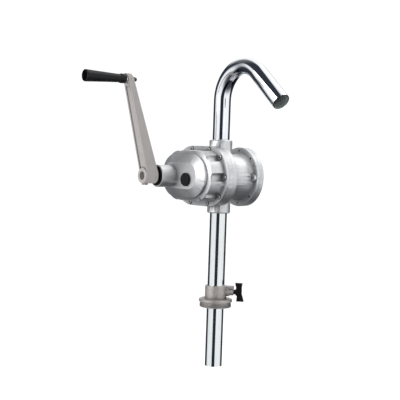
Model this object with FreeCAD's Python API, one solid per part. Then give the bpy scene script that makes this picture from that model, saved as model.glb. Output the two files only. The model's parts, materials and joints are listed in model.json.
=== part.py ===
"""Hand-cranked rotary vane pump for a drum, in millimetres.

The row frame stands on the bung adapter: its origin is on the suction tube's axis, level with
the top of the adapter's thread, and +Z points up.  The pump head is drawn in its own frame, with
its origin where the tube axis meets the barrel axis, and is lifted to PUMP_HEIGHT at export.
In both frames -Y is the crank side, +Y the rear cover and +X the side that the spout points to.
"""
import math
import os

import FreeCAD
import Part

V = FreeCAD.Vector

# ---- height of the barrel axis over the top of the bung thread ----
PUMP_HEIGHT = 237.4

# ---- tubes ----
TUBE_R = 16.0
TUBE_WALL = 2.0
TUBE_BORE_R = TUBE_R - TUBE_WALL
SPOUT_BEND_R = 61.7
SPOUT_BEND_START = 140.4
SPOUT_BEND_DEG = 130.0
SPOUT_END_RUN = 80.8
SUCTION_BOTTOM = -356.0

# ---- pump body ----
BARREL_R = 42.5
CHAMBER_R = 36.0
RING_R = 56.1
LOBE_SPAN = 52.3
RING_FRONT = -21.6
RING_BACK = -2.0
WEB_FRONT = -14.0
REAR_FLANGE_R = 55.7
REAR_FLANGE_FRONT = 44.2
REAR_FLANGE_BACK = 51.0
PORT_BOSS_R = 21.4
PORT_BOSS_TOP = 68.0
PORT_BORE_R = 13.0
SOCKET_DEPTH = 12.0
GASKET_THICK = 0.5
RIM_LUG_R = 7.8
RIM_LUG_X = 46.0
RIM_LUG_FRONT = 39.5

# ---- gear case ----
CASE_FLANGE_FRONT = -27.0
CASE_CAVITY_R = 37.0
CASE_WALL_R = 48.4
CASE_SHOULDER_R = 46.4
CASE_SHOULDER = -56.0
CASE_NECK_R = 38.4
NOSE_R = 39.8
NOSE_BACK = -62.4
NOSE_EDGE = -66.0
NOSE_FACE = -74.4
NOSE_FACE_R = 24.0
NOSE_CAVITY = -64.0
SCREW_HEAD_R = 3.7
SCREW_HEAD_HEIGHT = 2.8
PLUG_R = 12.2
PLUG_Z = -6.3
SCREW_CIRCLE = 50.0
SCREW_POCKET_R = 8.4
SCREW_ANGLES = (90.0, 46.0, 0.0, -46.0, -90.0)

# ---- drive ----
GEAR_MODULE = 2.0
CRANK_TEETH = 30
PINION_TEETH = 20
GEAR_CENTRES = GEAR_MODULE * (CRANK_TEETH + PINION_TEETH) / 2.0
GEAR_FRONT = -44.0
GEAR_BACK = -26.0
ROTOR_X = -4.0
CRANK_Z = -2.0
CRANK_X = ROTOR_X - math.sqrt(GEAR_CENTRES ** 2 - CRANK_Z ** 2)
MESH_ANGLE = math.degrees(math.atan2(-CRANK_Z, ROTOR_X - CRANK_X))
SHAFT_R = 9.0
RUN_FIT = 0.05
ROTOR_R = 31.4
ROTOR_FRONT = 0.5
ROTOR_BACK = 50.9
VANE_THICK = 5.0
VANE_DEPTH = 15.0
VANE_COUNT = 4

# ---- crank boss, arm and grip ----
CRANK_BOSS_R = 20.6
CRANK_BOSS_END = -106.0
SEAL_R = 18.2
HUB_R = 14.3
HUB_BACK = -111.0
HUB_FRONT = -138.4
SHAFT_NOSE_R = 8.2
ARM_TOP = 171.0
ARM_FRONT_LEAN = 0.256
ARM_BACK_LEAN = 0.340
ARM_HALF_FOOT = 12.8
ARM_HALF_HEAD = 10.0
GRIP_BACK = -179.6
GRIP_END = -264.0
SPINDLE_R = 4.0
SPINDLE_END_R = 2.6
NUT_CORNER_R = 4.7
NUT_HEIGHT = 6.0
NUT_CAP_R = 3.9
NUT_CAP_END = 11.0

# ---- bung adapter (heights in the row frame) ----
THREAD_R = 29.8
THREAD_LENGTH = 7.2
NECK_R = 28.2
BUNG_FLANGE_R = 31.2
BUNG_FLANGE_LOW = 2.4
BUNG_FLANGE_TOP = 8.4
COLLAR_R = 20.2
COLLAR_TOP = 32.9
COLLAR_BORE_R = TUBE_R + 0.35
CLAMP_DIRECTION_DEG = 45.0
CLAMP_HEIGHT = 22.1
CLAMP_LUG_END = 33.4
CLAMP_SCREW_R = 4.0
SEAL_GROOVE_R = 18.4
SEAL_LOW = 6.4
SEAL_HIGH = 10.4

# ---- telescopic suction tube ----
INNER_TUBE_R = 12.8
INNER_TUBE_WALL = 1.3
INNER_TUBE_TOP = -112.0
INNER_TUBE_BOTTOM = -322.0


# ---------------------------------------------------------------- helpers
def cyl_y(radius, front, back, x=0.0, z=0.0):
    """Cylinder along Y from front to back."""
    return Part.makeCylinder(radius, back - front, V(x, front, z), V(0, 1, 0))


def cyl_z(radius, low, high, x=0.0, y=0.0):
    """Cylinder along Z from low to high."""
    return Part.makeCylinder(radius, high - low, V(x, y, low), V(0, 0, 1))


def cyl_x(radius, near, far, y=0.0, z=0.0):
    """Cylinder along X from near to far."""
    return Part.makeCylinder(radius, far - near, V(near, y, z), V(1, 0, 0))


def cone_y(front_r, back_r, front, back, x=0.0, z=0.0):
    """Cone along Y from front to back."""
    return Part.makeCone(front_r, back_r, back - front, V(x, front, z), V(0, 1, 0))


def ring_y(outer_r, inner_r, front, back, x=0.0, z=0.0):
    """Round ring along Y."""
    return cyl_y(outer_r, front, back, x, z).cut(cyl_y(inner_r, front - 1, back + 1, x, z))


def ring_z(outer_r, inner_r, low, high, x=0.0, y=0.0):
    """Round ring along Z."""
    return cyl_z(outer_r, low, high, x, y).cut(cyl_z(inner_r, low - 1, high + 1, x, y))


def fuse(shapes):
    """One solid from overlapping shapes, with no seams left between them."""
    return shapes[0].multiFuse(shapes[1:]).removeSplitter()


def stadium_wire(radius, y, x_left=-LOBE_SPAN, x_right=0.0):
    """Two half circles and two straight lines round the lobe centres, in the plane y."""
    top = Part.LineSegment(V(x_right, y, radius), V(x_left, y, radius))
    left = Part.Arc(V(x_left, y, radius), V(x_left - radius, y, 0), V(x_left, y, -radius))
    low = Part.LineSegment(V(x_left, y, -radius), V(x_right, y, -radius))
    right = Part.Arc(V(x_right, y, -radius), V(x_right + radius, y, 0), V(x_right, y, radius))
    return Part.Wire([edge.toShape() for edge in (top, left, low, right)])


def stadium_y(radius, front, back):
    """Straight-sided two-lobed plate along Y."""
    return Part.Face(stadium_wire(radius, front)).extrude(V(0, back - front, 0))


def stadium_taper(front_r, back_r, front, back):
    """Two-lobed block whose radius changes from front to back."""
    return Part.makeLoft([stadium_wire(front_r, front), stadium_wire(back_r, back)], True, True)


def prism(points, push):
    """Solid from a closed outline of straight lines, pushed along a vector."""
    return Part.Face(Part.makePolygon(points + points[:1])).extrude(push)


def turned(shape, degrees, centre=V(0, 0, 0), axis=V(0, 1, 0)):
    """Copy of a shape, turned about an axis."""
    copy = shape.copy()
    copy.rotate(centre, axis, degrees)
    return copy


def round_edges(shape, radius, test):
    """Fillet the edges that the test picks, each on its own if the whole set will not go."""
    picked = [edge for edge in shape.Edges if test(edge)]
    return shape.makeFillet(radius, picked) if picked else shape


def circle_edge(radius, y=None, z=None):
    """Test for a full circle of a given radius in a plane across Y or Z."""
    def test(edge):
        curve = edge.Curve
        if not isinstance(curve, Part.Circle) or abs(curve.Radius - radius) > 0.01:
            return False
        if y is not None:
            return abs(curve.Center.y - y) < 0.01 and abs(abs(curve.Axis.y) - 1) < 1e-6
        return abs(curve.Center.z - z) < 0.01 and abs(abs(curve.Axis.z) - 1) < 1e-6
    return test


def flange_screw_places():
    """Places of the gear case screws: five round each lobe."""
    right = [(SCREW_CIRCLE * math.cos(math.radians(a)), SCREW_CIRCLE * math.sin(math.radians(a)))
             for a in SCREW_ANGLES]
    left = [(-LOBE_SPAN - x, z) for x, z in right]
    return right + left


def rear_screw_places():
    """Places of the rear cover screws."""
    angles = (90.0, 46.0, -46.0, -90.0, -134.0, 180.0, 134.0)
    places = [(49.3 * math.cos(math.radians(a)), 49.3 * math.sin(math.radians(a))) for a in angles]
    return places + [(RIM_LUG_X, 0.0)]


# ---------------------------------------------------------------- pump body and covers
def port(sign):
    """Port boss above (+1) or below (-1) the barrel, its rounded mouth, and the hollow inside it."""
    boss = cyl_z(PORT_BOSS_R, 0, PORT_BOSS_TOP)
    boss = round_edges(boss, 2.4, circle_edge(PORT_BOSS_R, z=PORT_BOSS_TOP))
    hollow = cyl_z(TUBE_R + 0.02, PORT_BOSS_TOP - SOCKET_DEPTH, PORT_BOSS_TOP + 1)
    hollow = hollow.fuse(cyl_z(PORT_BORE_R, CHAMBER_R, PORT_BOSS_TOP))
    inlet = cyl_z(PORT_BORE_R, 24, CHAMBER_R + 1).common(Part.makeBox(60, 40, 60, V(-30, 1, 0)))
    hollow = hollow.fuse(inlet)
    if sign < 0:
        boss = turned(boss, 180)
        hollow = turned(hollow, 180)
    return boss, hollow


def pump_body():
    """Barrel, two-lobed front ring with its web, round rear flange and the two ports."""
    ring = stadium_y(RING_R, RING_FRONT, RING_BACK)
    ring = ring.makeFillet(2.0, [e for e in ring.Edges if abs(e.CenterOfMass.y - RING_BACK) < 0.01])
    barrel = cyl_y(BARREL_R, RING_BACK - 4, REAR_FLANGE_FRONT + 1)
    throat = cone_y(BARREL_R, BARREL_R + 3.5, REAR_FLANGE_FRONT - 6, REAR_FLANGE_FRONT + 1)
    flange = cyl_y(REAR_FLANGE_R, REAR_FLANGE_FRONT, REAR_FLANGE_BACK)
    flange = round_edges(flange, 1.2, circle_edge(REAR_FLANGE_R, y=REAR_FLANGE_FRONT))
    lug = cyl_y(RIM_LUG_R, RIM_LUG_FRONT, REAR_FLANGE_FRONT + 1, x=RIM_LUG_X)
    lug_root = cyl_y(RIM_LUG_R, RIM_LUG_FRONT + 1.0, REAR_FLANGE_FRONT + 1, x=RIM_LUG_X - 9)
    upper, upper_hollow = port(1)
    lower, lower_hollow = port(-1)
    body = fuse([ring, barrel, throat, flange, lug, lug_root, upper, lower])
    for hollow in (
        cyl_y(CHAMBER_R, 0, REAR_FLANGE_BACK + 1),
        stadium_y(CASE_CAVITY_R, RING_FRONT - 1, WEB_FRONT),
        upper_hollow,
        lower_hollow,
        cyl_y(12.0, WEB_FRONT - 1, 1, x=ROTOR_X),
        cyl_y(12.0, WEB_FRONT - 1, -4.5, x=CRANK_X, z=CRANK_Z),
    ):
        body = body.cut(hollow)
    for x, z in flange_screw_places():
        body = body.cut(cyl_y(2.5, RING_FRONT - 1, -14.6, x, z))
    for x, z in rear_screw_places():
        body = body.cut(cyl_y(2.0, RIM_LUG_FRONT - 1, REAR_FLANGE_BACK + 1, x, z))
    dowel = (49.3 * math.cos(math.radians(27)), 49.3 * math.sin(math.radians(27)))
    return body.cut(cyl_y(1.2, REAR_FLANGE_FRONT - 1, REAR_FLANGE_FRONT + 4, *dowel))


def gear_case_gasket():
    """Thin flat gasket between the gear case and the body ring."""
    sheet = stadium_y(RING_R - 0.3, RING_FRONT - GASKET_THICK, RING_FRONT)
    sheet = sheet.cut(stadium_y(CASE_CAVITY_R, RING_FRONT - 2, RING_FRONT + 1))
    for x, z in flange_screw_places():
        sheet = sheet.cut(cyl_y(2.6, RING_FRONT - 2, RING_FRONT + 1, x, z))
    return sheet


def gear_case():
    """Two-lobed gear case: flange, scooped wall, overhanging bevelled nose and crank boss."""
    back = RING_FRONT - GASKET_THICK
    flange = stadium_y(RING_R, CASE_FLANGE_FRONT, back)
    flange = flange.makeFillet(1.2, [e for e in flange.Edges
                                     if abs(e.CenterOfMass.y - CASE_FLANGE_FRONT) < 0.01])
    wall = stadium_taper(CASE_SHOULDER_R, CASE_WALL_R, CASE_SHOULDER, back - 1)
    shoulder = stadium_taper(CASE_NECK_R, CASE_SHOULDER_R, CASE_SHOULDER - 3.4, CASE_SHOULDER)
    skin = fuse([wall, shoulder])
    tip_y = CASE_SHOULDER + 6.0
    for x, z in flange_screw_places():
        scoop = cyl_y(SCREW_POCKET_R, tip_y, CASE_FLANGE_FRONT, x, z)
        skin = skin.cut(scoop.fuse(Part.makeSphere(SCREW_POCKET_R, V(x, tip_y, z))))
    neck = stadium_y(CASE_NECK_R, NOSE_BACK - 1, CASE_SHOULDER - 3.4 + 1)
    rim = stadium_y(NOSE_R, NOSE_EDGE, NOSE_BACK)
    rim = rim.makeFillet(0.9, [e for e in rim.Edges if abs(e.CenterOfMass.y - NOSE_BACK) < 0.01])
    bevel = stadium_taper(NOSE_FACE_R, NOSE_R, NOSE_FACE, NOSE_EDGE)
    bevel = bevel.makeFillet(1.2, [e for e in bevel.Edges if abs(e.CenterOfMass.y - NOSE_FACE) < 0.01])
    boss = cyl_y(CRANK_BOSS_R, CRANK_BOSS_END, NOSE_FACE + 4, CRANK_X, CRANK_Z)
    boss = round_edges(boss, 1.2, circle_edge(CRANK_BOSS_R, y=CRANK_BOSS_END))
    case = fuse([flange, skin, neck, rim, bevel, boss])
    case = case.cut(stadium_y(CASE_CAVITY_R, CASE_SHOULDER, back + 1))
    case = case.cut(stadium_y(CASE_NECK_R - 6.4, NOSE_CAVITY, CASE_SHOULDER + 1))
    for hollow in (
        cyl_y(12.0, -98.0, NOSE_CAVITY + 1, CRANK_X, CRANK_Z),
        cyl_y(SEAL_R, CRANK_BOSS_END - 1, -97.0, CRANK_X, CRANK_Z),
        cyl_y(8.0, NOSE_FACE - 1, NOSE_CAVITY + 1, ROTOR_X, PLUG_Z),
    ):
        case = case.cut(hollow)
    for x, z in flange_screw_places():
        case = case.cut(cyl_y(2.7, CASE_FLANGE_FRONT - 1, back + 1, x, z))
    return case


def rear_cover():
    """Round rear cover with a bearing boss and stiffening ribs on its outside."""
    front = REAR_FLANGE_BACK + GASKET_THICK
    plate = cyl_y(REAR_FLANGE_R, front, 60.9)
    plate = round_edges(plate, 1.6, circle_edge(REAR_FLANGE_R, y=60.9))
    boss = cone_y(21.0, 19.0, 60.0, 67.0, x=ROTOR_X)
    ribs = [turned(Part.makeBox(60, 5.0, 3.4, V(-30, 60.0, -1.7)), 30 + 60 * k) for k in range(3)]
    cover = fuse([plate, boss] + ribs)
    cover = cover.common(cyl_y(REAR_FLANGE_R, front - 1, 70))
    cover = cover.cut(cyl_y(12.0, front - 1, 62.0, x=ROTOR_X))
    for x, z in rear_screw_places():
        cover = cover.cut(cyl_y(2.7, front - 1, 70, x, z))
        cover = cover.cut(cyl_y(SCREW_HEAD_R + 0.6, 57.4, 70, x, z))
    return cover


def rear_gasket():
    """Thin flat gasket under the rear cover."""
    back = REAR_FLANGE_BACK + GASKET_THICK
    sheet = ring_y(REAR_FLANGE_R - 0.3, CHAMBER_R, REAR_FLANGE_BACK, back)
    for x, z in rear_screw_places():
        sheet = sheet.cut(cyl_y(2.7, REAR_FLANGE_BACK - 1, back + 1, x, z))
    return sheet


def cap_screw(x, z, head_y, tip_y, shank_r=2.5):
    """Low socket cap screw along Y; its head stands on the side of head_y away from tip_y."""
    into = 1.0 if tip_y > head_y else -1.0
    start = head_y - into * SCREW_HEAD_HEIGHT
    head = Part.makeCylinder(SCREW_HEAD_R, SCREW_HEAD_HEIGHT, V(x, start, z), V(0, into, 0))
    head = head.makeFillet(0.7, [e for e in head.Edges if isinstance(e.Curve, Part.Circle)
                                 and abs(e.Curve.Center.y - start) < 0.01])
    shank = Part.makeCylinder(shank_r, abs(tip_y - head_y), V(x, head_y, z), V(0, into, 0))
    corner = 2.1
    outline = [V(x + corner * math.cos(math.radians(60 * k)), start,
                 z + corner * math.sin(math.radians(60 * k))) for k in range(6)]
    return head.fuse(shank).cut(prism(outline, V(0, into * 1.9, 0)))


def gear_case_screws():
    """Ten cap screws that hold the gear case."""
    return Part.makeCompound([cap_screw(x, z, CASE_FLANGE_FRONT, -15.2)
                              for x, z in flange_screw_places()])


def rear_screws():
    """Cap screws that hold the rear cover, sunk in its outer face."""
    places = rear_screw_places()
    return Part.makeCompound([cap_screw(x, z, 57.4, REAR_FLANGE_FRONT + 1.6, shank_r=2.0)
                              for x, z in places])


def filler_plug():
    """Push-in rubber plug in the nose, with a domed head."""
    head = cyl_y(PLUG_R, NOSE_FACE - 5.2, NOSE_FACE, ROTOR_X, PLUG_Z)
    head = round_edges(head, 1.6, circle_edge(PLUG_R, y=NOSE_FACE - 5.2))
    stem = cyl_y(7.95, NOSE_FACE - 1, NOSE_CAVITY, ROTOR_X, PLUG_Z)
    return fuse([head, stem])


# ---------------------------------------------------------------- bearings and seals
def crank_bush_front():
    """Bronze bush in the crank boss."""
    return ring_y(12.0, SHAFT_R + RUN_FIT, -96.0, -68.0, CRANK_X, CRANK_Z)


def crank_bush_rear():
    """Bronze bush in the body web."""
    return ring_y(12.0, SHAFT_R + RUN_FIT, WEB_FRONT, -4.6, CRANK_X, CRANK_Z)


def shaft_seal():
    """Rubber lip seal in the mouth of the crank boss, standing a little proud of it."""
    ring = ring_y(SEAL_R, SHAFT_R + RUN_FIT, CRANK_BOSS_END - 1.2, -97.0, CRANK_X, CRANK_Z)
    return ring.cut(cone_y(14.8, 12.6, CRANK_BOSS_END - 1.3, CRANK_BOSS_END + 1.4, CRANK_X, CRANK_Z))


def rotor_bush_front():
    """Bronze bush in the body web, behind the rotor seal."""
    return ring_y(12.0, SHAFT_R + RUN_FIT, -9.4, 0.0, x=ROTOR_X)


def rotor_seal():
    """Rubber seal that keeps the liquid out of the gear case."""
    return ring_y(12.0, SHAFT_R + RUN_FIT, WEB_FRONT, -9.6, x=ROTOR_X)


def rotor_bush_rear():
    """Bronze bush in the rear cover."""
    return ring_y(12.0, SHAFT_R + RUN_FIT, REAR_FLANGE_BACK + GASKET_THICK, 61.8, x=ROTOR_X)


# ---------------------------------------------------------------- gears, shafts and rotor
def involute(angle):
    """Involute function of a pressure angle in radians."""
    return math.tan(angle) - angle


def gear(teeth, phase_deg, x, z):
    """Spur gear along Y with one tooth centred on phase_deg, seen from the rear."""
    pitch_r = GEAR_MODULE * teeth / 2.0
    base_r = pitch_r * math.cos(math.radians(20))
    root_r = pitch_r - 1.25 * GEAR_MODULE
    tip_r = pitch_r + 0.95 * GEAR_MODULE
    backlash = 0.10
    half_at_pitch = math.pi / (2 * teeth) - backlash / pitch_r
    points = []
    flank = [max(base_r, root_r + 0.2), (base_r + pitch_r) / 2, pitch_r, (pitch_r + tip_r) / 2, tip_r]

    def half_width(radius):
        return half_at_pitch + involute(math.radians(20)) - involute(math.acos(min(1, base_r / radius)))

    for k in range(teeth):
        centre = math.radians(phase_deg) + 2 * math.pi * k / teeth
        rising = [(root_r, centre - half_width(flank[0]))] + [(r, centre - half_width(r)) for r in flank]
        falling = [(r, centre + half_width(r)) for r in reversed(flank)]
        falling.append((root_r, centre + half_width(flank[0])))
        for radius, angle in rising + falling:
            points.append(V(x + radius * math.cos(angle), GEAR_FRONT, z + radius * math.sin(angle)))
    return prism(points, V(0, GEAR_BACK - GEAR_FRONT, 0))


def key_bar(x, z, front, back, shaft_r, grow=0.0):
    """Square key half sunk in the top of a shaft."""
    side = 5.0 + grow
    return Part.makeBox(side, back - front, side, V(x - side / 2, front, z + shaft_r - 2.5 - grow / 2))


def drive_gear():
    """Large gear on the crank shaft."""
    wheel = gear(CRANK_TEETH, MESH_ANGLE, CRANK_X, CRANK_Z)
    wheel = wheel.cut(ring_y(23.5, 15.0, GEAR_FRONT - 1, GEAR_FRONT + 4, CRANK_X, CRANK_Z))
    wheel = wheel.cut(cyl_y(SHAFT_R, GEAR_FRONT - 1, GEAR_BACK + 1, CRANK_X, CRANK_Z))
    return wheel.cut(key_bar(CRANK_X, CRANK_Z, GEAR_FRONT - 1, GEAR_BACK + 1, SHAFT_R))


def rotor_pinion():
    """Small gear on the rotor shaft, with a gap facing the large gear's tooth."""
    phase = MESH_ANGLE + 180.0 + 180.0 / PINION_TEETH
    wheel = gear(PINION_TEETH, phase, ROTOR_X, 0.0)
    wheel = wheel.cut(cyl_y(SHAFT_R, GEAR_FRONT - 1, GEAR_BACK + 1, x=ROTOR_X))
    return wheel.cut(key_bar(ROTOR_X, 0.0, GEAR_FRONT - 1, GEAR_BACK + 1, SHAFT_R))


def circlip(x, z, front):
    """Split retaining ring on a shaft, open at the bottom."""
    ring = ring_y(SHAFT_R + 3.0, SHAFT_R - 0.6, front, front + 1.2, x, z)
    return ring.cut(Part.makeBox(7.0, 3.0, 14.0, V(x - 3.5, front - 1, z - SHAFT_R - 12.0)))


def crank_shaft():
    """Input shaft with a key seat, a circlip groove and a reduced nose for the crank hub."""
    shaft = cyl_y(SHAFT_R, HUB_BACK, -5.0, CRANK_X, CRANK_Z)
    shaft = shaft.makeChamfer(0.8, [e for e in shaft.Edges if isinstance(e.Curve, Part.Circle)
                                    and abs(e.Curve.Center.y + 5.0) < 0.01])
    nose = cyl_y(SHAFT_NOSE_R, HUB_FRONT + 1.0, HUB_BACK + 1, CRANK_X, CRANK_Z)
    nose = round_edges(nose, 0.6, circle_edge(SHAFT_NOSE_R, y=HUB_FRONT + 1.0))
    shaft = fuse([shaft, nose])
    shaft = shaft.cut(ring_y(SHAFT_R + 1, SHAFT_R - 0.6, GEAR_FRONT - 1.4, GEAR_FRONT - 0.2, CRANK_X, CRANK_Z))
    return shaft.cut(key_bar(CRANK_X, CRANK_Z, GEAR_FRONT + 1, GEAR_BACK - 1, SHAFT_R))


def rotor_shaft():
    """Shaft of the rotor, from the pinion through the chamber to the rear cover."""
    shaft = cyl_y(SHAFT_R, GEAR_FRONT - 3.4, 61.4, x=ROTOR_X)
    shaft = shaft.makeChamfer(0.8, [e for e in shaft.Edges if isinstance(e.Curve, Part.Circle)])
    groove = ring_y(SHAFT_R + 1, SHAFT_R - 0.6, GEAR_FRONT - 1.4, GEAR_FRONT - 0.2, x=ROTOR_X)
    shaft = shaft.cut(groove)
    shaft = shaft.cut(key_bar(ROTOR_X, 0.0, GEAR_FRONT + 1, GEAR_BACK - 1, SHAFT_R))
    return shaft.cut(key_bar(ROTOR_X, 0.0, ROTOR_FRONT + 8, ROTOR_BACK - 8, SHAFT_R))


def vane_blade(index, grow, front, back):
    """One vane, or its slot when grown, set into the rotor at 45 degrees from upright."""
    tip = ROTOR_R + 0.1 if grow == 0 else ROTOR_R + 2
    low = ROTOR_R - VANE_DEPTH - grow
    half = VANE_THICK / 2 + grow
    box = Part.makeBox(2 * half, back - front, tip - low, V(ROTOR_X - half, front, low))
    return turned(box, 45 + 360.0 * index / VANE_COUNT, V(ROTOR_X, 0, 0))


def rotor():
    """Slotted rotor with a keyed bore."""
    drum = cyl_y(ROTOR_R, ROTOR_FRONT, ROTOR_BACK, x=ROTOR_X)
    for index in range(VANE_COUNT):
        drum = drum.cut(vane_blade(index, 0.05, ROTOR_FRONT - 1, ROTOR_BACK + 1))
    drum = drum.cut(cyl_y(SHAFT_R, ROTOR_FRONT - 1, ROTOR_BACK + 1, x=ROTOR_X))
    return drum.cut(key_bar(ROTOR_X, 0.0, ROTOR_FRONT - 1, ROTOR_BACK + 1, SHAFT_R))


# ---------------------------------------------------------------- crank arm and grip
def arm_front_y(z):
    """Front face of the arm at height z over the pump axis."""
    return -134.0 - ARM_FRONT_LEAN * (z - CRANK_Z)


def arm_back_y(z):
    """Back face of the arm at height z over the pump axis."""
    return -115.8 - ARM_BACK_LEAN * (z - 18.0)


def arm_outline(inset, low, high):
    """Tapered front view of the arm between two heights, pulled in by inset."""
    slope = (ARM_HALF_FOOT - ARM_HALF_HEAD) / (ARM_TOP - CRANK_Z)
    low_half = ARM_HALF_FOOT - slope * (low - CRANK_Z) - inset
    high_half = ARM_HALF_FOOT - slope * (high - CRANK_Z) - inset
    points = [V(CRANK_X - low_half, -200, low), V(CRANK_X + low_half, -200, low),
              V(CRANK_X + high_half, -200, high), V(CRANK_X - high_half, -200, high)]
    return prism(points, V(0, 100, 0))


def arm_slab(front_offset, back_offset, low, high):
    """Side view of the arm between its leaning faces, moved back by the two offsets."""
    points = [V(CRANK_X - 30, arm_front_y(low) + front_offset, low),
              V(CRANK_X - 30, arm_back_y(low) + back_offset, low),
              V(CRANK_X - 30, arm_back_y(high) + back_offset, high),
              V(CRANK_X - 30, arm_front_y(high) + front_offset, high)]
    return prism(points, V(60, 0, 0))


def crank_arm():
    """Cast crank arm: round hub, leaning tapered web with a channelled front, round head."""
    blade = arm_outline(0.0, CRANK_Z, ARM_TOP)
    head = cyl_y(ARM_HALF_HEAD, -200, -100, CRANK_X, ARM_TOP)
    blade = blade.fuse(head).common(arm_slab(0, 0, CRANK_Z, ARM_TOP + ARM_HALF_HEAD + 2))
    blade = blade.cut(Part.makeBox(60, 20, 60, V(CRANK_X - 30, HUB_BACK, CRANK_Z - 30)))
    hub = cyl_y(HUB_R, HUB_FRONT, HUB_BACK, CRANK_X, CRANK_Z)
    hub = round_edges(hub, 0.9, lambda e: circle_edge(HUB_R, y=HUB_FRONT)(e)
                      or circle_edge(HUB_R, y=HUB_BACK)(e))
    channel = arm_outline(3.0, 6.0, ARM_TOP - 13.0)
    deep = 2.2
    points = [V(CRANK_X - 30, arm_front_y(6) - 5, 6), V(CRANK_X - 30, arm_front_y(6) + deep, 6),
              V(CRANK_X - 30, arm_front_y(160) + deep, 160), V(CRANK_X - 30, arm_front_y(160) - 5, 160)]
    channel = channel.common(prism(points, V(60, 0, 0)))
    blade = blade.cut(channel)
    arm = fuse([blade, hub])
    arm = arm.cut(cyl_y(SHAFT_NOSE_R, HUB_FRONT - 1, HUB_BACK + 1, CRANK_X, CRANK_Z))
    arm = arm.cut(cyl_y(SPINDLE_END_R, -200, -150, CRANK_X, ARM_TOP))
    return arm.cut(cyl_z(4.0, CRANK_Z - HUB_R - 1, CRANK_Z - 5.0, CRANK_X, -131.5))


def crank_set_screw():
    """Hexagon set screw that locks the hub to the shaft from below."""
    head_low = CRANK_Z - HUB_R - 2.6
    outline = [V(CRANK_X + 6.2 * math.cos(math.radians(60 * k + 30)),
                 -131.5 + 6.2 * math.sin(math.radians(60 * k + 30)), head_low) for k in range(6)]
    head = prism(outline, V(0, 0, 3.6))
    stem = cyl_z(4.0, head_low + 1, CRANK_Z - SHAFT_NOSE_R - 0.1, CRANK_X, -131.5)
    hub = cyl_y(HUB_R, -150, -120, CRANK_X, CRANK_Z)
    return fuse([head.cut(hub), stem])


def grip_spindle():
    """Steel spindle of the grip: slotted head in its end, thinner threaded end through the arm."""
    shoulder = GRIP_BACK - 1.4
    pin = cyl_y(SPINDLE_R, GRIP_END + 14.0, shoulder, CRANK_X, ARM_TOP)
    thread = cyl_y(SPINDLE_END_R, shoulder - 1.0, arm_back_y(ARM_TOP) + 5.5, CRANK_X, ARM_TOP)
    head = cyl_y(6.6, GRIP_END + 10.4, GRIP_END + 14.4, CRANK_X, ARM_TOP)
    head = head.cut(Part.makeBox(14, 1.5, 1.4, V(CRANK_X - 7, GRIP_END + 10.0, ARM_TOP - 0.7)))
    return fuse([pin, thread, head])


def spindle_nut():
    """Small hexagon cap nut behind the arm head, cut to the leaning face."""
    outline = [V(CRANK_X + NUT_CORNER_R * math.cos(math.radians(60 * k)), -170.0,
                 ARM_TOP + NUT_CORNER_R * math.sin(math.radians(60 * k))) for k in range(6)]
    back = arm_back_y(ARM_TOP)
    nut = prism(outline, V(0, 170.0 + back + NUT_HEIGHT, 0))
    cap = cyl_y(NUT_CAP_R, back + NUT_HEIGHT - 1.0, back + NUT_CAP_END, CRANK_X, ARM_TOP)
    cap = round_edges(cap, 2.6, circle_edge(NUT_CAP_R, y=back + NUT_CAP_END))
    nut = fuse([nut, cap]).cut(arm_slab(-20, 0, ARM_TOP - 20, ARM_TOP + 20))
    return nut.cut(cyl_y(SPINDLE_END_R, -180, back + 5.6, CRANK_X, ARM_TOP))


def grip_washer():
    """Steel washer between the arm head and the grip, with one face cut to the arm's lean."""
    disc = cyl_y(7.6, GRIP_BACK - 1.4, GRIP_BACK + 6, CRANK_X, ARM_TOP)
    disc = disc.cut(arm_slab(0, 30, ARM_TOP - 20, ARM_TOP + 20))
    return disc.cut(cyl_y(SPINDLE_END_R, -200, -150, CRANK_X, ARM_TOP))


def grip():
    """Moulded grip: a collar, a slim neck that swells to the end, and a hollow end with a rim."""
    start = GRIP_BACK - 1.8
    collar = cyl_y(8.7, start - 10.6, start, CRANK_X, ARM_TOP)
    collar = round_edges(collar, 0.8, lambda e: circle_edge(8.7, y=start)(e)
                         or circle_edge(8.7, y=start - 10.6)(e))
    sleeve = cone_y(10.9, 7.5, GRIP_END, start - 10.0, CRANK_X, ARM_TOP)
    sleeve = round_edges(sleeve, 1.0, circle_edge(10.9, y=GRIP_END))
    shape = fuse([collar, sleeve])
    shape = shape.cut(cyl_y(SPINDLE_R + RUN_FIT, GRIP_END - 1, start + 1, CRANK_X, ARM_TOP))
    shape = shape.cut(cyl_y(8.7, GRIP_END - 1, GRIP_END + 9.4, CRANK_X, ARM_TOP))
    return shape.cut(cyl_y(7.0, GRIP_END, GRIP_END + 14.8, CRANK_X, ARM_TOP))


# ---------------------------------------------------------------- tubes
def spout_tube():
    """Thin-walled discharge tube: straight, one round bend, straight to a square-cut mouth."""
    start = V(0, 0, PORT_BOSS_TOP - SOCKET_DEPTH + 0.2)
    bend_start = V(0, 0, SPOUT_BEND_START)
    turn = math.radians(SPOUT_BEND_DEG)

    def on_bend(angle):
        return V(SPOUT_BEND_R * (1 - math.cos(angle)), 0, SPOUT_BEND_START + SPOUT_BEND_R * math.sin(angle))

    bend_end = on_bend(turn)
    mouth = bend_end + V(math.sin(turn), 0, math.cos(turn)) * SPOUT_END_RUN
    path = Part.Wire([Part.LineSegment(start, bend_start).toShape(),
                      Part.Arc(bend_start, on_bend(turn / 2), bend_end).toShape(),
                      Part.LineSegment(bend_end, mouth).toShape()])

    def pipe(radius):
        profile = Part.Wire([Part.Circle(start, V(0, 0, 1), radius).toShape()])
        return path.makePipeShell([profile], True, True)

    return pipe(TUBE_R).cut(pipe(TUBE_BORE_R))


def suction_tube():
    """Outer suction tube, from the lower port down through the bung adapter."""
    return ring_z(TUBE_R, TUBE_BORE_R, SUCTION_BOTTOM, -(PORT_BOSS_TOP - SOCKET_DEPTH + 0.2))


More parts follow.
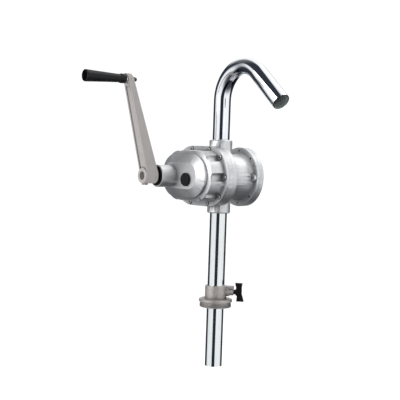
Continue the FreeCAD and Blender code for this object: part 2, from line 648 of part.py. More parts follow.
def tube_end_bush():
    """Plastic bush in the foot of the outer tube, which guides and stops the inner tube."""
    return ring_z(TUBE_BORE_R, INNER_TUBE_R + RUN_FIT, SUCTION_BOTTOM + 10, SUCTION_BOTTOM + 24)


def inner_tube():
    """Inner suction tube, pushed up inside the outer one."""
    return ring_z(INNER_TUBE_R, INNER_TUBE_R - INNER_TUBE_WALL, INNER_TUBE_BOTTOM, INNER_TUBE_TOP)


def guide_bush():
    """Plastic slide ring on the top of the inner tube."""
    return ring_z(TUBE_BORE_R - RUN_FIT, INNER_TUBE_R, INNER_TUBE_TOP - 14, INNER_TUBE_TOP - 2)


def foot_strainer():
    """Slotted strainer in the foot of the inner tube."""
    outer = INNER_TUBE_R - INNER_TUBE_WALL
    low = SUCTION_BOTTOM + 2.0
    cup = cyl_z(outer, low, INNER_TUBE_BOTTOM + 12).cut(cyl_z(outer - 1.4, low + 1.6, INNER_TUBE_BOTTOM + 13))
    slot = Part.makeBox(40, 2.0, 14.0, V(-20, -1.0, low + 5))
    for k in range(4):
        cup = cup.cut(turned(slot, 45 * k, axis=V(0, 0, 1)))
    return cup


# ---------------------------------------------------------------- bung adapter
def bung_adapter():
    """Threaded bung adapter: thread, undercut, flange, and a collar with a clamp lug."""
    thread = cyl_z(THREAD_R, -THREAD_LENGTH, 0)
    thread = thread.makeChamfer(1.0, [e for e in thread.Edges if isinstance(e.Curve, Part.Circle)
                                      and abs(e.Curve.Center.z + THREAD_LENGTH) < 0.01])
    neck = cyl_z(NECK_R, -1.0, BUNG_FLANGE_LOW + 1.0)
    flange = cyl_z(BUNG_FLANGE_R, BUNG_FLANGE_LOW, BUNG_FLANGE_TOP)
    flange = round_edges(flange, 2.4, circle_edge(BUNG_FLANGE_R, z=BUNG_FLANGE_TOP))
    flange = round_edges(flange, 1.0, circle_edge(BUNG_FLANGE_R, z=BUNG_FLANGE_LOW))
    collar = cyl_z(COLLAR_R, BUNG_FLANGE_LOW, COLLAR_TOP)
    collar = round_edges(collar, 1.0, circle_edge(COLLAR_R, z=COLLAR_TOP))
    lug = Part.makeBox(CLAMP_LUG_END, 13.0, 5.0, V(0, -6.5, COLLAR_TOP - 5.0))
    lug_root = Part.makeBox(CLAMP_LUG_END - 7, 13.0, 14.0, V(0, -6.5, CLAMP_HEIGHT - 7.7))
    boss = cyl_x(6.6, 0, CLAMP_LUG_END, z=CLAMP_HEIGHT)
    body = fuse([thread, neck, flange, collar, lug, lug_root, boss])
    body = body.cut(cyl_z(COLLAR_BORE_R, -THREAD_LENGTH - 1, COLLAR_TOP + 1))
    body = body.cut(cyl_z(SEAL_GROOVE_R, SEAL_LOW, SEAL_HIGH))
    body = body.cut(cyl_x(CLAMP_SCREW_R + RUN_FIT, TUBE_R, CLAMP_LUG_END + 1, z=CLAMP_HEIGHT))
    return body.cut(cyl_x(5.2, TUBE_R - 2, TUBE_R + 4.2, z=CLAMP_HEIGHT))


def tube_seal():
    """Rubber ring in the collar that grips the tube and turns with it."""
    return ring_z(SEAL_GROOVE_R - RUN_FIT, TUBE_R + RUN_FIT, SEAL_LOW + 0.05, SEAL_HIGH - 0.05)


def clamp_pad():
    """Brass pad on the tip of the wing screw, hollowed to the tube."""
    pad = cyl_x(5.1, TUBE_R - 2, TUBE_R + 3.2, z=CLAMP_HEIGHT)
    return pad.cut(cyl_z(TUBE_R + 0.35, CLAMP_HEIGHT - 10, CLAMP_HEIGHT + 10))


def wing_stud():
    """Steel stud of the wing screw."""
    stud = cyl_x(CLAMP_SCREW_R, TUBE_R + 3.5, CLAMP_LUG_END + 12, z=CLAMP_HEIGHT)
    return stud.makeChamfer(0.6, [e for e in stud.Edges if isinstance(e.Curve, Part.Circle)])


def wing_knob():
    """Moulded two-winged knob on the stud, narrow at the middle."""
    low = CLAMP_LUG_END + 3.0
    high = CLAMP_LUG_END + 19.6
    neck = cyl_x(4.6, CLAMP_LUG_END + 0.6, low + 3, z=CLAMP_HEIGHT)
    profile = [V(low + 4.2, -4, CLAMP_HEIGHT), V(low, -4, CLAMP_HEIGHT + 17.2),
               V(low + 13.4, -4, CLAMP_HEIGHT + 17.2), V(low + 11.6, -4, CLAMP_HEIGHT),
               V(high, -4, CLAMP_HEIGHT - 17.2), V(low + 3.0, -4, CLAMP_HEIGHT - 17.2)]
    wings = prism(profile, V(0, 8, 0))
    hub = cyl_x(7.0, low + 1.5, low + 12.5, z=CLAMP_HEIGHT)
    knob = fuse([neck, wings, hub])
    return knob.cut(cyl_x(CLAMP_SCREW_R, 0, CLAMP_LUG_END + 12, z=CLAMP_HEIGHT))


# ---------------------------------------------------------------- export
def pump_parts():
    """Sub-parts drawn in the pump head's frame."""
    parts = {
        "pump_body": pump_body(),
        "gear_case": gear_case(),
        "gear_case_gasket": gear_case_gasket(),
        "gear_case_screws": gear_case_screws(),
        "filler_plug": filler_plug(),
        "rear_cover": rear_cover(),
        "rear_gasket": rear_gasket(),
        "rear_screws": rear_screws(),
        "crank_bush_front": crank_bush_front(),
        "crank_bush_rear": crank_bush_rear(),
        "shaft_seal": shaft_seal(),
        "rotor_bush_front": rotor_bush_front(),
        "rotor_bush_rear": rotor_bush_rear(),
        "rotor_seal": rotor_seal(),
        "spout_tube": spout_tube(),
        "suction_tube": suction_tube(),
        "tube_end_bush": tube_end_bush(),
        "inner_tube": inner_tube(),
        "guide_bush": guide_bush(),
        "foot_strainer": foot_strainer(),
        "crank_shaft": crank_shaft(),
        "drive_gear": drive_gear(),
        "drive_gear_key": key_bar(CRANK_X, CRANK_Z, GEAR_FRONT + 1, GEAR_BACK - 1, SHAFT_R),
        "drive_gear_circlip": circlip(CRANK_X, CRANK_Z, GEAR_FRONT - 1.4),
        "rotor_shaft": rotor_shaft(),
        "rotor": rotor(),
        "rotor_key": key_bar(ROTOR_X, 0.0, ROTOR_FRONT + 8, ROTOR_BACK - 8, SHAFT_R),
        "rotor_pinion": rotor_pinion(),
        "pinion_key": key_bar(ROTOR_X, 0.0, GEAR_FRONT + 1, GEAR_BACK - 1, SHAFT_R),
        "pinion_circlip": circlip(ROTOR_X, 0.0, GEAR_FRONT - 1.4),
        "crank_arm": crank_arm(),
        "crank_set_screw": crank_set_screw(),
        "grip_spindle": grip_spindle(),
        "spindle_nut": spindle_nut(),
        "grip_washer": grip_washer(),
        "grip": grip(),
    }
    for index in range(VANE_COUNT):
        parts[f"vane_{index + 1}"] = vane_blade(index, 0, ROTOR_FRONT + 0.2, ROTOR_BACK - 0.2)
    return parts


def bung_parts():
    """Sub-parts drawn in the row frame, with the clamp lug along +X before it is turned."""
    return {
        "bung_adapter": bung_adapter(),
        "tube_seal": tube_seal(),
        "clamp_pad": clamp_pad(),
        "wing_stud": wing_stud(),
        "wing_knob": wing_knob(),
    }


def main():
    """Build every sub-part and write one STEP file for each."""
    os.makedirs("parts", exist_ok=True)
    for name, shape in pump_parts().items():
        shape.translate(V(0, 0, PUMP_HEIGHT))
        shape.exportStep(f"parts/{name}.step")
    for name, shape in bung_parts().items():
        turned(shape, CLAMP_DIRECTION_DEG, axis=V(0, 0, 1)).exportStep(f"parts/{name}.step")


main()
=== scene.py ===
"""Looks of a hand-cranked drum pump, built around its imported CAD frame."""

import json
import logging
import math
from collections.abc import Iterator, Sequence
from contextlib import contextmanager
from dataclasses import dataclass
from enum import Enum
from typing import ClassVar

import bpy
from mathutils import Matrix, Vector


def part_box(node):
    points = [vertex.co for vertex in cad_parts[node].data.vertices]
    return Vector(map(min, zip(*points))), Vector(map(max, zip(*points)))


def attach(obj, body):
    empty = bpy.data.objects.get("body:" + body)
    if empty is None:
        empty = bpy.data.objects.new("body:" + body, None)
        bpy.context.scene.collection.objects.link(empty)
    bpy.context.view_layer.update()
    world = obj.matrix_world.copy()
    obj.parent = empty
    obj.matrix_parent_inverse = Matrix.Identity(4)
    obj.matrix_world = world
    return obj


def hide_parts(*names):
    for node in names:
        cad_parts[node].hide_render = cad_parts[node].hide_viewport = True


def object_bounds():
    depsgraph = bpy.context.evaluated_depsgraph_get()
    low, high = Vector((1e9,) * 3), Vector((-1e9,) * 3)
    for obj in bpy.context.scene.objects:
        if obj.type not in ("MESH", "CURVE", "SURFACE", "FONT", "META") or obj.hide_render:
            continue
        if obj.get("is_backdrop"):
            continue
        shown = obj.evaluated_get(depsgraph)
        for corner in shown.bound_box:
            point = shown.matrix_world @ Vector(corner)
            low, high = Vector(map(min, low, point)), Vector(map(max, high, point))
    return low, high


LOG = logging.getLogger("pump")
MM = 0.001

Colour = tuple[float, float, float]
Socket = bpy.types.NodeSocket


class Body(Enum):
    """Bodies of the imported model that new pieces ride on."""

    PUMP = "pump"
    CRANK = "crank"
    GRIP = "grip"
    BUNG_ADAPTER = "bung_adapter"
    WING_SCREW = "wing_screw"


class Slot(Enum):
    """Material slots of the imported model."""

    CAST_HEAD = "cast_head"
    CAST_ARM = "cast_arm"
    CAST_BUNG = "cast_bung"
    CHROME_TUBE = "chrome_tube"
    STEEL = "steel"
    BRONZE = "bronze"
    ROTOR_IRON = "rotor_iron"
    RUBBER = "rubber"
    BLACK_PLASTIC = "black_plastic"
    GASKET = "gasket"
    VANE = "vane"
    NYLON = "nylon"


# ---------------------------------------------------------------- node helpers
class NodeKit:
    """Short calls that add and link the nodes of one tree."""

    def __init__(self, tree: bpy.types.NodeTree) -> None:
        """Start on a tree."""
        self.tree = tree

    def add(self, kind: str, inputs: dict | None = None, **settings: object) -> bpy.types.Node:
        """Add a node, set its properties and fill its inputs.

        Args:
            kind: the node's type name.
            inputs: what goes into its inputs, by name or number.
            settings: properties of the node.

        Returns:
            The new node.
        """
        node = self.tree.nodes.new(kind)
        for name, value in settings.items():
            setattr(node, name, value)
        self.fill(node, inputs or {})
        return node

    def fill(self, node: bpy.types.Node, inputs: dict) -> None:
        """Link an output to each input, or write a constant on it.

        Args:
            node: the node to fill.
            inputs: an output socket, a number or a tuple for each input, by name or number.
        """
        for label, value in inputs.items():
            if isinstance(value, bpy.types.NodeSocket):
                self.tree.links.new(value, node.inputs[label])
            else:
                node.inputs[label].default_value = value

    def math(self, operation: str, first: object, second: object = 0.0, clamp: bool = False) -> Socket:
        """Result of one Math node, kept between 0 and 1 where it is clamped."""
        return self.add("ShaderNodeMath", {0: first, 1: second}, operation=operation,
                        use_clamp=clamp).outputs[0]

    def mix(self, amount: object, low: object, high: object) -> Socket:
        """Mix two colours; the amount is the share of the second."""
        return self.add("ShaderNodeMix", {0: amount, 6: low, 7: high}, data_type="RGBA").outputs[2]

    def scale_range(self, value: object, low: float, high: float, to_low: object, to_high: object) -> Socket:
        """Map the range of values from low to high on the one from to_low to to_high."""
        return self.add("ShaderNodeMapRange", {"Value": value, "From Min": low, "From Max": high,
                                               "To Min": to_low, "To Max": to_high}).outputs["Result"]

    def noise(self, place: object, scale: object, detail: float = 3.0, rough: float = 0.5) -> Socket:
        """Noise value at a place, with detail octaves that weigh rough each."""
        return self.add("ShaderNodeTexNoise", {"Vector": place, "Scale": scale, "Detail": detail,
                                               "Roughness": rough}).outputs["Fac"]

    def split(self, place: Socket) -> bpy.types.NodeOutputs:
        """The X, Y and Z of a place."""
        return self.add("ShaderNodeSeparateXYZ", {0: place}).outputs


def rgba(colour: Colour) -> tuple[float, float, float, float]:
    """A colour with full alpha."""
    return (*colour, 1.0)


def new_group(name: str, inputs: dict[str, tuple[str, object]], outputs: dict[str, str]) -> tuple:
    """Start a shader node group.

    Args:
        name: the group's name.
        inputs: socket type and default value of each input.
        outputs: socket type of each output.

    Returns:
        The group, its node kit, its input node and its output node.
    """
    group = bpy.data.node_groups.new(name, "ShaderNodeTree")
    for label, (kind, value) in inputs.items():
        socket = group.interface.new_socket(name=label, in_out="INPUT", socket_type=kind)
        if value is not None:
            socket.default_value = value
    for label, kind in outputs.items():
        group.interface.new_socket(name=label, in_out="OUTPUT", socket_type=kind)
    kit = NodeKit(group)
    return group, kit, kit.add("NodeGroupInput"), kit.add("NodeGroupOutput")


class Effects:
    """Node groups that several finishes share, each built once."""

    FLOAT = "NodeSocketFloat"
    VECTOR = "NodeSocketVector"

    def __init__(self) -> None:
        """Build every group."""
        self.cast_grain = self._cast_grain()
        self.handling = self._handling()
        self.streaks = self._streaks()
        self.turning = self._turning()
        self.edges = self._edges()

    def _cast_grain(self) -> bpy.types.NodeTree:
        """Blasted casting skin: fine grains, soft waviness and a few small pits."""
        group, kit, source, sink = new_group(
            "cast grain",
            {"Place": (self.VECTOR, None), "Grain": (self.FLOAT, 900.0), "Wave": (self.FLOAT, 60.0),
             "Pits": (self.FLOAT, 0.3)},
            {"Height": self.FLOAT, "Fleck": self.FLOAT, "Cloud": self.FLOAT})
        place = source.outputs["Place"]
        fine = kit.noise(place, source.outputs["Grain"], 2.0, 0.6)
        cloud = kit.noise(place, source.outputs["Wave"], 3.0, 0.55)
        coarse = kit.math("MULTIPLY", source.outputs["Grain"], 0.22)
        cells = kit.add("ShaderNodeTexVoronoi", {"Vector": place, "Scale": coarse})
        pit = kit.scale_range(cells.outputs["Distance"], 0.05, 0.22, 1.0, 0.0)
        pit = kit.math("MULTIPLY", pit, source.outputs["Pits"])
        height = kit.math("ADD", kit.math("MULTIPLY", fine, 0.6), kit.math("MULTIPLY", cloud, 0.5))
        kit.fill(sink, {"Height": kit.math("SUBTRACT", height, pit),
                        "Fleck": kit.scale_range(fine, 0.35, 0.65, 0.0, 1.0),
                        "Cloud": kit.scale_range(cloud, 0.3, 0.7, 0.0, 1.0)})
        return group

    def _handling(self) -> bpy.types.NodeTree:
        """Finger marks and faint dust: two slow noises, one cut into patches."""
        group, kit, source, sink = new_group(
            "handling",
            {"Place": (self.VECTOR, None), "Scale": (self.FLOAT, 25.0), "Amount": (self.FLOAT, 0.5)},
            {"Smear": self.FLOAT, "Dust": self.FLOAT})
        place = source.outputs["Place"]
        slow = kit.noise(place, source.outputs["Scale"], 4.0, 0.6)
        quick = kit.noise(place, kit.math("MULTIPLY", source.outputs["Scale"], 6.0), 3.0, 0.7)
        smear = kit.scale_range(slow, 0.45, 0.7, 0.0, 1.0)
        dust = kit.scale_range(kit.math("MULTIPLY", slow, quick), 0.22, 0.42, 0.0, 1.0)
        kit.fill(sink, {"Smear": kit.math("MULTIPLY", smear, source.outputs["Amount"]),
                        "Dust": kit.math("MULTIPLY", dust, source.outputs["Amount"])})
        return group

    def _streaks(self) -> bpy.types.NodeTree:
        """Fine lines drawn along one axis, from noise squeezed along the other two."""
        group, kit, source, sink = new_group(
            "drawn streaks",
            {"Place": (self.VECTOR, None), "Along": (self.VECTOR, (900.0, 900.0, 12.0))},
            {"Height": self.FLOAT, "Line": self.FLOAT})
        stretched = kit.add("ShaderNodeVectorMath", {0: source.outputs["Place"], 1: source.outputs["Along"]},
                            operation="MULTIPLY")
        value = kit.noise(stretched.outputs[0], 1.0, 2.0, 0.5)
        kit.fill(sink, {"Height": value, "Line": kit.scale_range(value, 0.4, 0.62, 0.0, 1.0)})
        return group

    def _turning(self) -> bpy.types.NodeTree:
        """Lathe marks: rings at even radii round an axis along Y."""
        group, kit, source, sink = new_group(
            "turning marks",
            {"Place": (self.VECTOR, None), "Rings": (self.FLOAT, 2500.0)},
            {"Height": self.FLOAT})
        part = kit.split(source.outputs["Place"])
        radius = kit.math("SQRT", kit.math("ADD", kit.math("POWER", part["X"], 2.0),
                                           kit.math("POWER", part["Z"], 2.0)))
        ring = kit.math("SINE", kit.math("MULTIPLY", radius, source.outputs["Rings"]))
        kit.fill(sink, {"Height": kit.math("MULTIPLY", ring, 0.5)})
        return group

    def _edges(self) -> bpy.types.NodeTree:
        """Worn edges, where the rounded normal leaves the true one, and a mask for painted shade in recesses.
        """
        group, kit, source, sink = new_group(
            "edges and recesses",
            {"Place": (self.VECTOR, None), "Width": (self.FLOAT, 0.0008), "Reach": (self.FLOAT, 0.02)},
            {"Edge": self.FLOAT, "Recess": self.FLOAT})
        rounded = kit.add("ShaderNodeBevel", {"Radius": source.outputs["Width"]}, samples=6)
        true = kit.add("ShaderNodeNewGeometry").outputs["Normal"]
        product = kit.add("ShaderNodeVectorMath", {0: rounded.outputs["Normal"], 1: true},
                          operation="DOT_PRODUCT")
        bend = kit.scale_range(product.outputs["Value"], 0.995, 0.88, 0.0, 1.0)
        patches = kit.scale_range(kit.noise(source.outputs["Place"], 140.0, 3.0, 0.6), 0.3, 0.6, 0.35, 1.0)
        # Painted shade: ambient occlusion of the piece itself finds its recesses, which the cast finishes then
        # paint darker.
        nearby = kit.add("ShaderNodeAmbientOcclusion", {"Distance": source.outputs["Reach"]}, samples=8,
                         only_local=True)
        kit.fill(sink, {"Edge": kit.math("MULTIPLY", bend, patches),
                        "Recess": kit.scale_range(nearby.outputs["AO"], 0.9, 0.35, 0.0, 1.0)})
        return group


# ---------------------------------------------------------------- finishes
@dataclass(frozen=True)
class Finish:
    """Common values of a finish.

    Attributes:
        name: the material's name.
        tone: main colour.
        shade: darker colour that the pattern mixes in.
        roughness: lowest and highest roughness.
        metallic: how much of the surface is bare metal.
    """

    name: str
    tone: Colour
    shade: Colour
    roughness: tuple[float, float]
    metallic: float

    def build(self, effects: Effects) -> bpy.types.Material:
        """Make the material.

        Args:
            effects: the shared node groups.

        Returns:
            The finished material.
        """
        material = bpy.data.materials.new(self.name)
        material.use_nodes = True
        kit = NodeKit(material.node_tree)
        shader = material.node_tree.nodes["Principled BSDF"]
        place = kit.add("ShaderNodeTexCoord").outputs["Object"]
        shader.inputs["Metallic"].default_value = self.metallic
        self.dress(kit, shader, place, effects)
        return material

    def dress(self, kit: NodeKit, shader: bpy.types.Node, place: Socket, effects: Effects) -> None:
        """Link the pattern of this finish to the shader.

        Args:
            kit: calls on the material's tree.
            shader: its Principled BSDF.
            place: Object coordinates.
            effects: the shared node groups.
        """
        raise NotImplementedError

    def colour_in(self, kit: NodeKit, shader: bpy.types.Node, share: Socket, wear: Socket) -> None:
        """Mix the two colours by one pattern and the two ends of the roughness by another."""
        kit.fill(shader, {"Base Color": kit.mix(share, rgba(self.tone), rgba(self.shade)),
                          "Roughness": kit.scale_range(wear, 0.0, 1.0, *self.roughness)})

    @staticmethod
    def use(kit: NodeKit, group: bpy.types.NodeTree, place: Socket, **values: object) -> bpy.types.NodeOutputs:
        """Place a shared group in the material, with values for its inputs, and give its outputs."""
        return kit.add("ShaderNodeGroup", {"Place": place, **values}, node_tree=group).outputs

    @staticmethod
    def bump(kit: NodeKit, shader: bpy.types.Node, height: Socket, strength: float, depth: float) -> None:
        """Feed a height to the shader's normal; a step of 1 is as many metres as the depth."""
        node = kit.add("ShaderNodeBump", {"Strength": strength, "Distance": depth, "Height": height})
        kit.fill(shader, {"Normal": node.outputs["Normal"]})


@dataclass(frozen=True)
class CastMetal(Finish):
    """Blasted or as-cast metal skin.

    Attributes:
        grain: scale of the fine grain.
        wave: scale of the slow waviness.
        pits: how much the small pits show.
        depth: bump depth in metres.
        strength: bump strength.
        edge: colour of the worn edges.
        reach: how far a recess is felt for the painted shade, in metres.
        recess_shade: how much the painted shade darkens a recess.
    """

    grain: float = 1400.0
    wave: float = 70.0
    pits: float = 0.2
    depth: float = 0.00012
    strength: float = 0.35
    edge: Colour = (0.86, 0.87, 0.88)
    reach: float = 0.022
    recess_shade: float = 0.75

    def dress(self, kit: NodeKit, shader: bpy.types.Node, place: Socket, effects: Effects) -> None:
        """Grain in the colour, the roughness and the normal, with handling marks and worn edges over it, and
        painted shade in its recesses.
        """
        skin = self.use(kit, effects.cast_grain, place, Grain=self.grain, Wave=self.wave, Pits=self.pits)
        marks = self.use(kit, effects.handling, place, Scale=18.0, Amount=0.5)
        worn = self.use(kit, effects.edges, place, Width=0.0009, Reach=self.reach)
        fleck = kit.math("MULTIPLY", skin["Fleck"], 0.35)
        share = kit.math("ADD", fleck, kit.math("MULTIPLY", skin["Cloud"], 0.3), clamp=True)
        share = kit.math("ADD", share, kit.math("MULTIPLY", marks["Dust"], 0.4), clamp=True)
        skin_colour = kit.mix(share, rgba(self.tone), rgba(self.shade))
        # Painted shade: recesses found by ambient occlusion are mixed towards this dark copy of the tone.
        dark = tuple(0.16 * part for part in self.tone)
        recess = kit.math("MULTIPLY", worn["Recess"], self.recess_shade)
        worn_colour = kit.mix(worn["Edge"], skin_colour, rgba(self.edge))
        wear = kit.math("ADD", skin["Fleck"], marks["Smear"], clamp=True)
        kit.fill(shader, {"Base Color": kit.mix(recess, worn_colour, rgba(dark)),
                          "Roughness": kit.scale_range(wear, 0.0, 1.0, *self.roughness)})
        self.bump(kit, shader, skin["Height"], self.strength, self.depth)


@dataclass(frozen=True)
class ChromeTube(Finish):
    """Bright plated tube with faint drawn lines.

    Attributes:
        along: scale of the lines on each axis, low along the tube.
    """

    along: tuple[float, float, float] = (700.0, 700.0, 10.0)

    def dress(self, kit: NodeKit, shader: bpy.types.Node, place: Socket, effects: Effects) -> None:
        """Drawn lines and smears in the roughness, and a trace of them in the normal."""
        lines = self.use(kit, effects.streaks, place, Along=self.along)
        marks = self.use(kit, effects.handling, place, Scale=30.0, Amount=0.6)
        share = kit.math("MULTIPLY", kit.math("ADD", lines["Line"], marks["Smear"]), 0.5)
        self.colour_in(kit, shader, share, share)
        self.bump(kit, shader, lines["Height"], 0.02, 0.000004)


@dataclass(frozen=True)
class TurnedSteel(Finish):
    """Machined or plated steel with lathe rings and handling marks."""

    def dress(self, kit: NodeKit, shader: bpy.types.Node, place: Socket, effects: Effects) -> None:
        """Rings in the normal, stains in the colour and the roughness."""
        rings = self.use(kit, effects.turning, place)
        skin = self.use(kit, effects.cast_grain, place, Grain=1600.0, Wave=240.0, Pits=0.15)
        marks = self.use(kit, effects.handling, place, Scale=90.0, Amount=0.8)
        stain = kit.math("MULTIPLY", skin["Cloud"], 0.5)
        stain = kit.math("ADD", marks["Smear"], stain, clamp=True)
        self.colour_in(kit, shader, stain, stain)
        height = kit.math("ADD", rings["Height"], skin["Height"])
        self.bump(kit, shader, height, 0.2, 0.00004)


@dataclass(frozen=True)
class Moulded(Finish):
    """Moulded plastic or rubber with a fine texture.

    Attributes:
        grain: scale of the moulded texture.
        strength: bump strength.
        sheen: strength of the coat on top.
        gloss: specular level.
    """

    grain: float = 1800.0
    strength: float = 0.15
    sheen: float = 0.0
    gloss: float = 0.5

    def dress(self, kit: NodeKit, shader: bpy.types.Node, place: Socket, effects: Effects) -> None:
        """Moulded texture with dust and finger marks."""
        skin = self.use(kit, effects.cast_grain, place, Grain=self.grain, Wave=120.0, Pits=0.0)
        marks = self.use(kit, effects.handling, place, Scale=40.0, Amount=0.7)
        share = kit.math("MULTIPLY", skin["Cloud"], 0.3)
        share = kit.math("ADD", share, marks["Dust"], clamp=True)
        self.colour_in(kit, shader, share, marks["Smear"])
        kit.fill(shader, {"Coat Weight": self.sheen, "Coat Roughness": 0.3, "Specular IOR Level": self.gloss})
        self.bump(kit, shader, skin["Height"], self.strength, 0.00006)


FINISHES: dict[Slot, Finish] = {
    Slot.CAST_HEAD: CastMetal(
        "blasted cast aluminium", (0.79, 0.792, 0.802), (0.58, 0.583, 0.595), (0.41, 0.52), 0.96,
        grain=1100.0, wave=230.0, strength=0.45, edge=(0.93, 0.93, 0.94), recess_shade=0.65),
    Slot.CAST_ARM: CastMetal(
        "warm cast aluminium", (0.37, 0.348, 0.34), (0.30, 0.282, 0.275), (0.52, 0.64), 0.12, grain=900.0,
        strength=0.3, edge=(0.56, 0.54, 0.53), reach=0.006, recess_shade=0.9),
    Slot.CAST_BUNG: CastMetal(
        "warm grey die casting", (0.50, 0.468, 0.452), (0.26, 0.238, 0.228), (0.40, 0.56), 0.7,
        grain=800.0, wave=190.0, pits=0.35, strength=0.6, edge=(0.66, 0.64, 0.62), reach=0.010),
    Slot.CHROME_TUBE: ChromeTube("chromed tube", (0.90, 0.91, 0.93), (0.72, 0.74, 0.78), (0.05, 0.13), 1.0),
    Slot.STEEL: TurnedSteel("zinc plated steel", (0.78, 0.78, 0.79), (0.58, 0.57, 0.56), (0.24, 0.40), 1.0),
    Slot.BRONZE: TurnedSteel("sintered bronze", (0.60, 0.40, 0.20), (0.38, 0.24, 0.12), (0.35, 0.55), 1.0),
    Slot.ROTOR_IRON: TurnedSteel("ground iron", (0.30, 0.30, 0.31), (0.16, 0.16, 0.17), (0.35, 0.55), 1.0),
    Slot.RUBBER: Moulded(
        "black rubber", (0.006, 0.006, 0.007), (0.014, 0.014, 0.015), (0.45, 0.6), 0.0, gloss=0.15),
    Slot.BLACK_PLASTIC: Moulded(
        "black moulded plastic", (0.005, 0.005, 0.006), (0.010, 0.010, 0.012), (0.28, 0.42), 0.0,
        gloss=0.2),
    Slot.GASKET: Moulded("pressed gasket fibre", (0.14, 0.15, 0.14), (0.09, 0.09, 0.09), (0.7, 0.85), 0.0),
    Slot.VANE: Moulded("filled phenolic", (0.22, 0.17, 0.11), (0.14, 0.11, 0.08), (0.5, 0.65), 0.0),
    Slot.NYLON: Moulded("natural nylon", (0.72, 0.70, 0.62), (0.60, 0.58, 0.52), (0.4, 0.55), 0.0),
}
BARE_SHAFT = TurnedSteel("bare turned shaft", (0.34, 0.31, 0.29), (0.20, 0.17, 0.15), (0.30, 0.46), 1.0)
BORE_LINING = Moulded("inside of the tube", (0.20, 0.235, 0.22), (0.17, 0.20, 0.19), (0.6, 0.7), 0.0,
                      strength=0.03)
HANDLED_TUBE = ChromeTube("handled tube", (0.80, 0.82, 0.815), (0.62, 0.645, 0.64), (0.08, 0.20), 1.0)
BLACKENED = TurnedSteel("blackened nut", (0.10, 0.095, 0.09), (0.05, 0.048, 0.045), (0.30, 0.46), 1.0)
OWN_FINISH: dict[str, Finish] = {"crank_shaft": BARE_SHAFT, "crank_set_screw": BARE_SHAFT,
                                 "spindle_nut": BLACKENED, "suction_tube": HANDLED_TUBE}


# ---------------------------------------------------------------- modelling calls
ONTO_Y = Matrix.Rotation(math.radians(90.0), 4, "X")


def rings(radius: float, height: float, steps: Sequence[tuple[float, float]]) -> list[tuple[float, float]]:
    """Rings of a turned shape, given in millimetres from a radius and a height."""
    return [(radius + out * MM, height + up * MM) for out, up in steps]


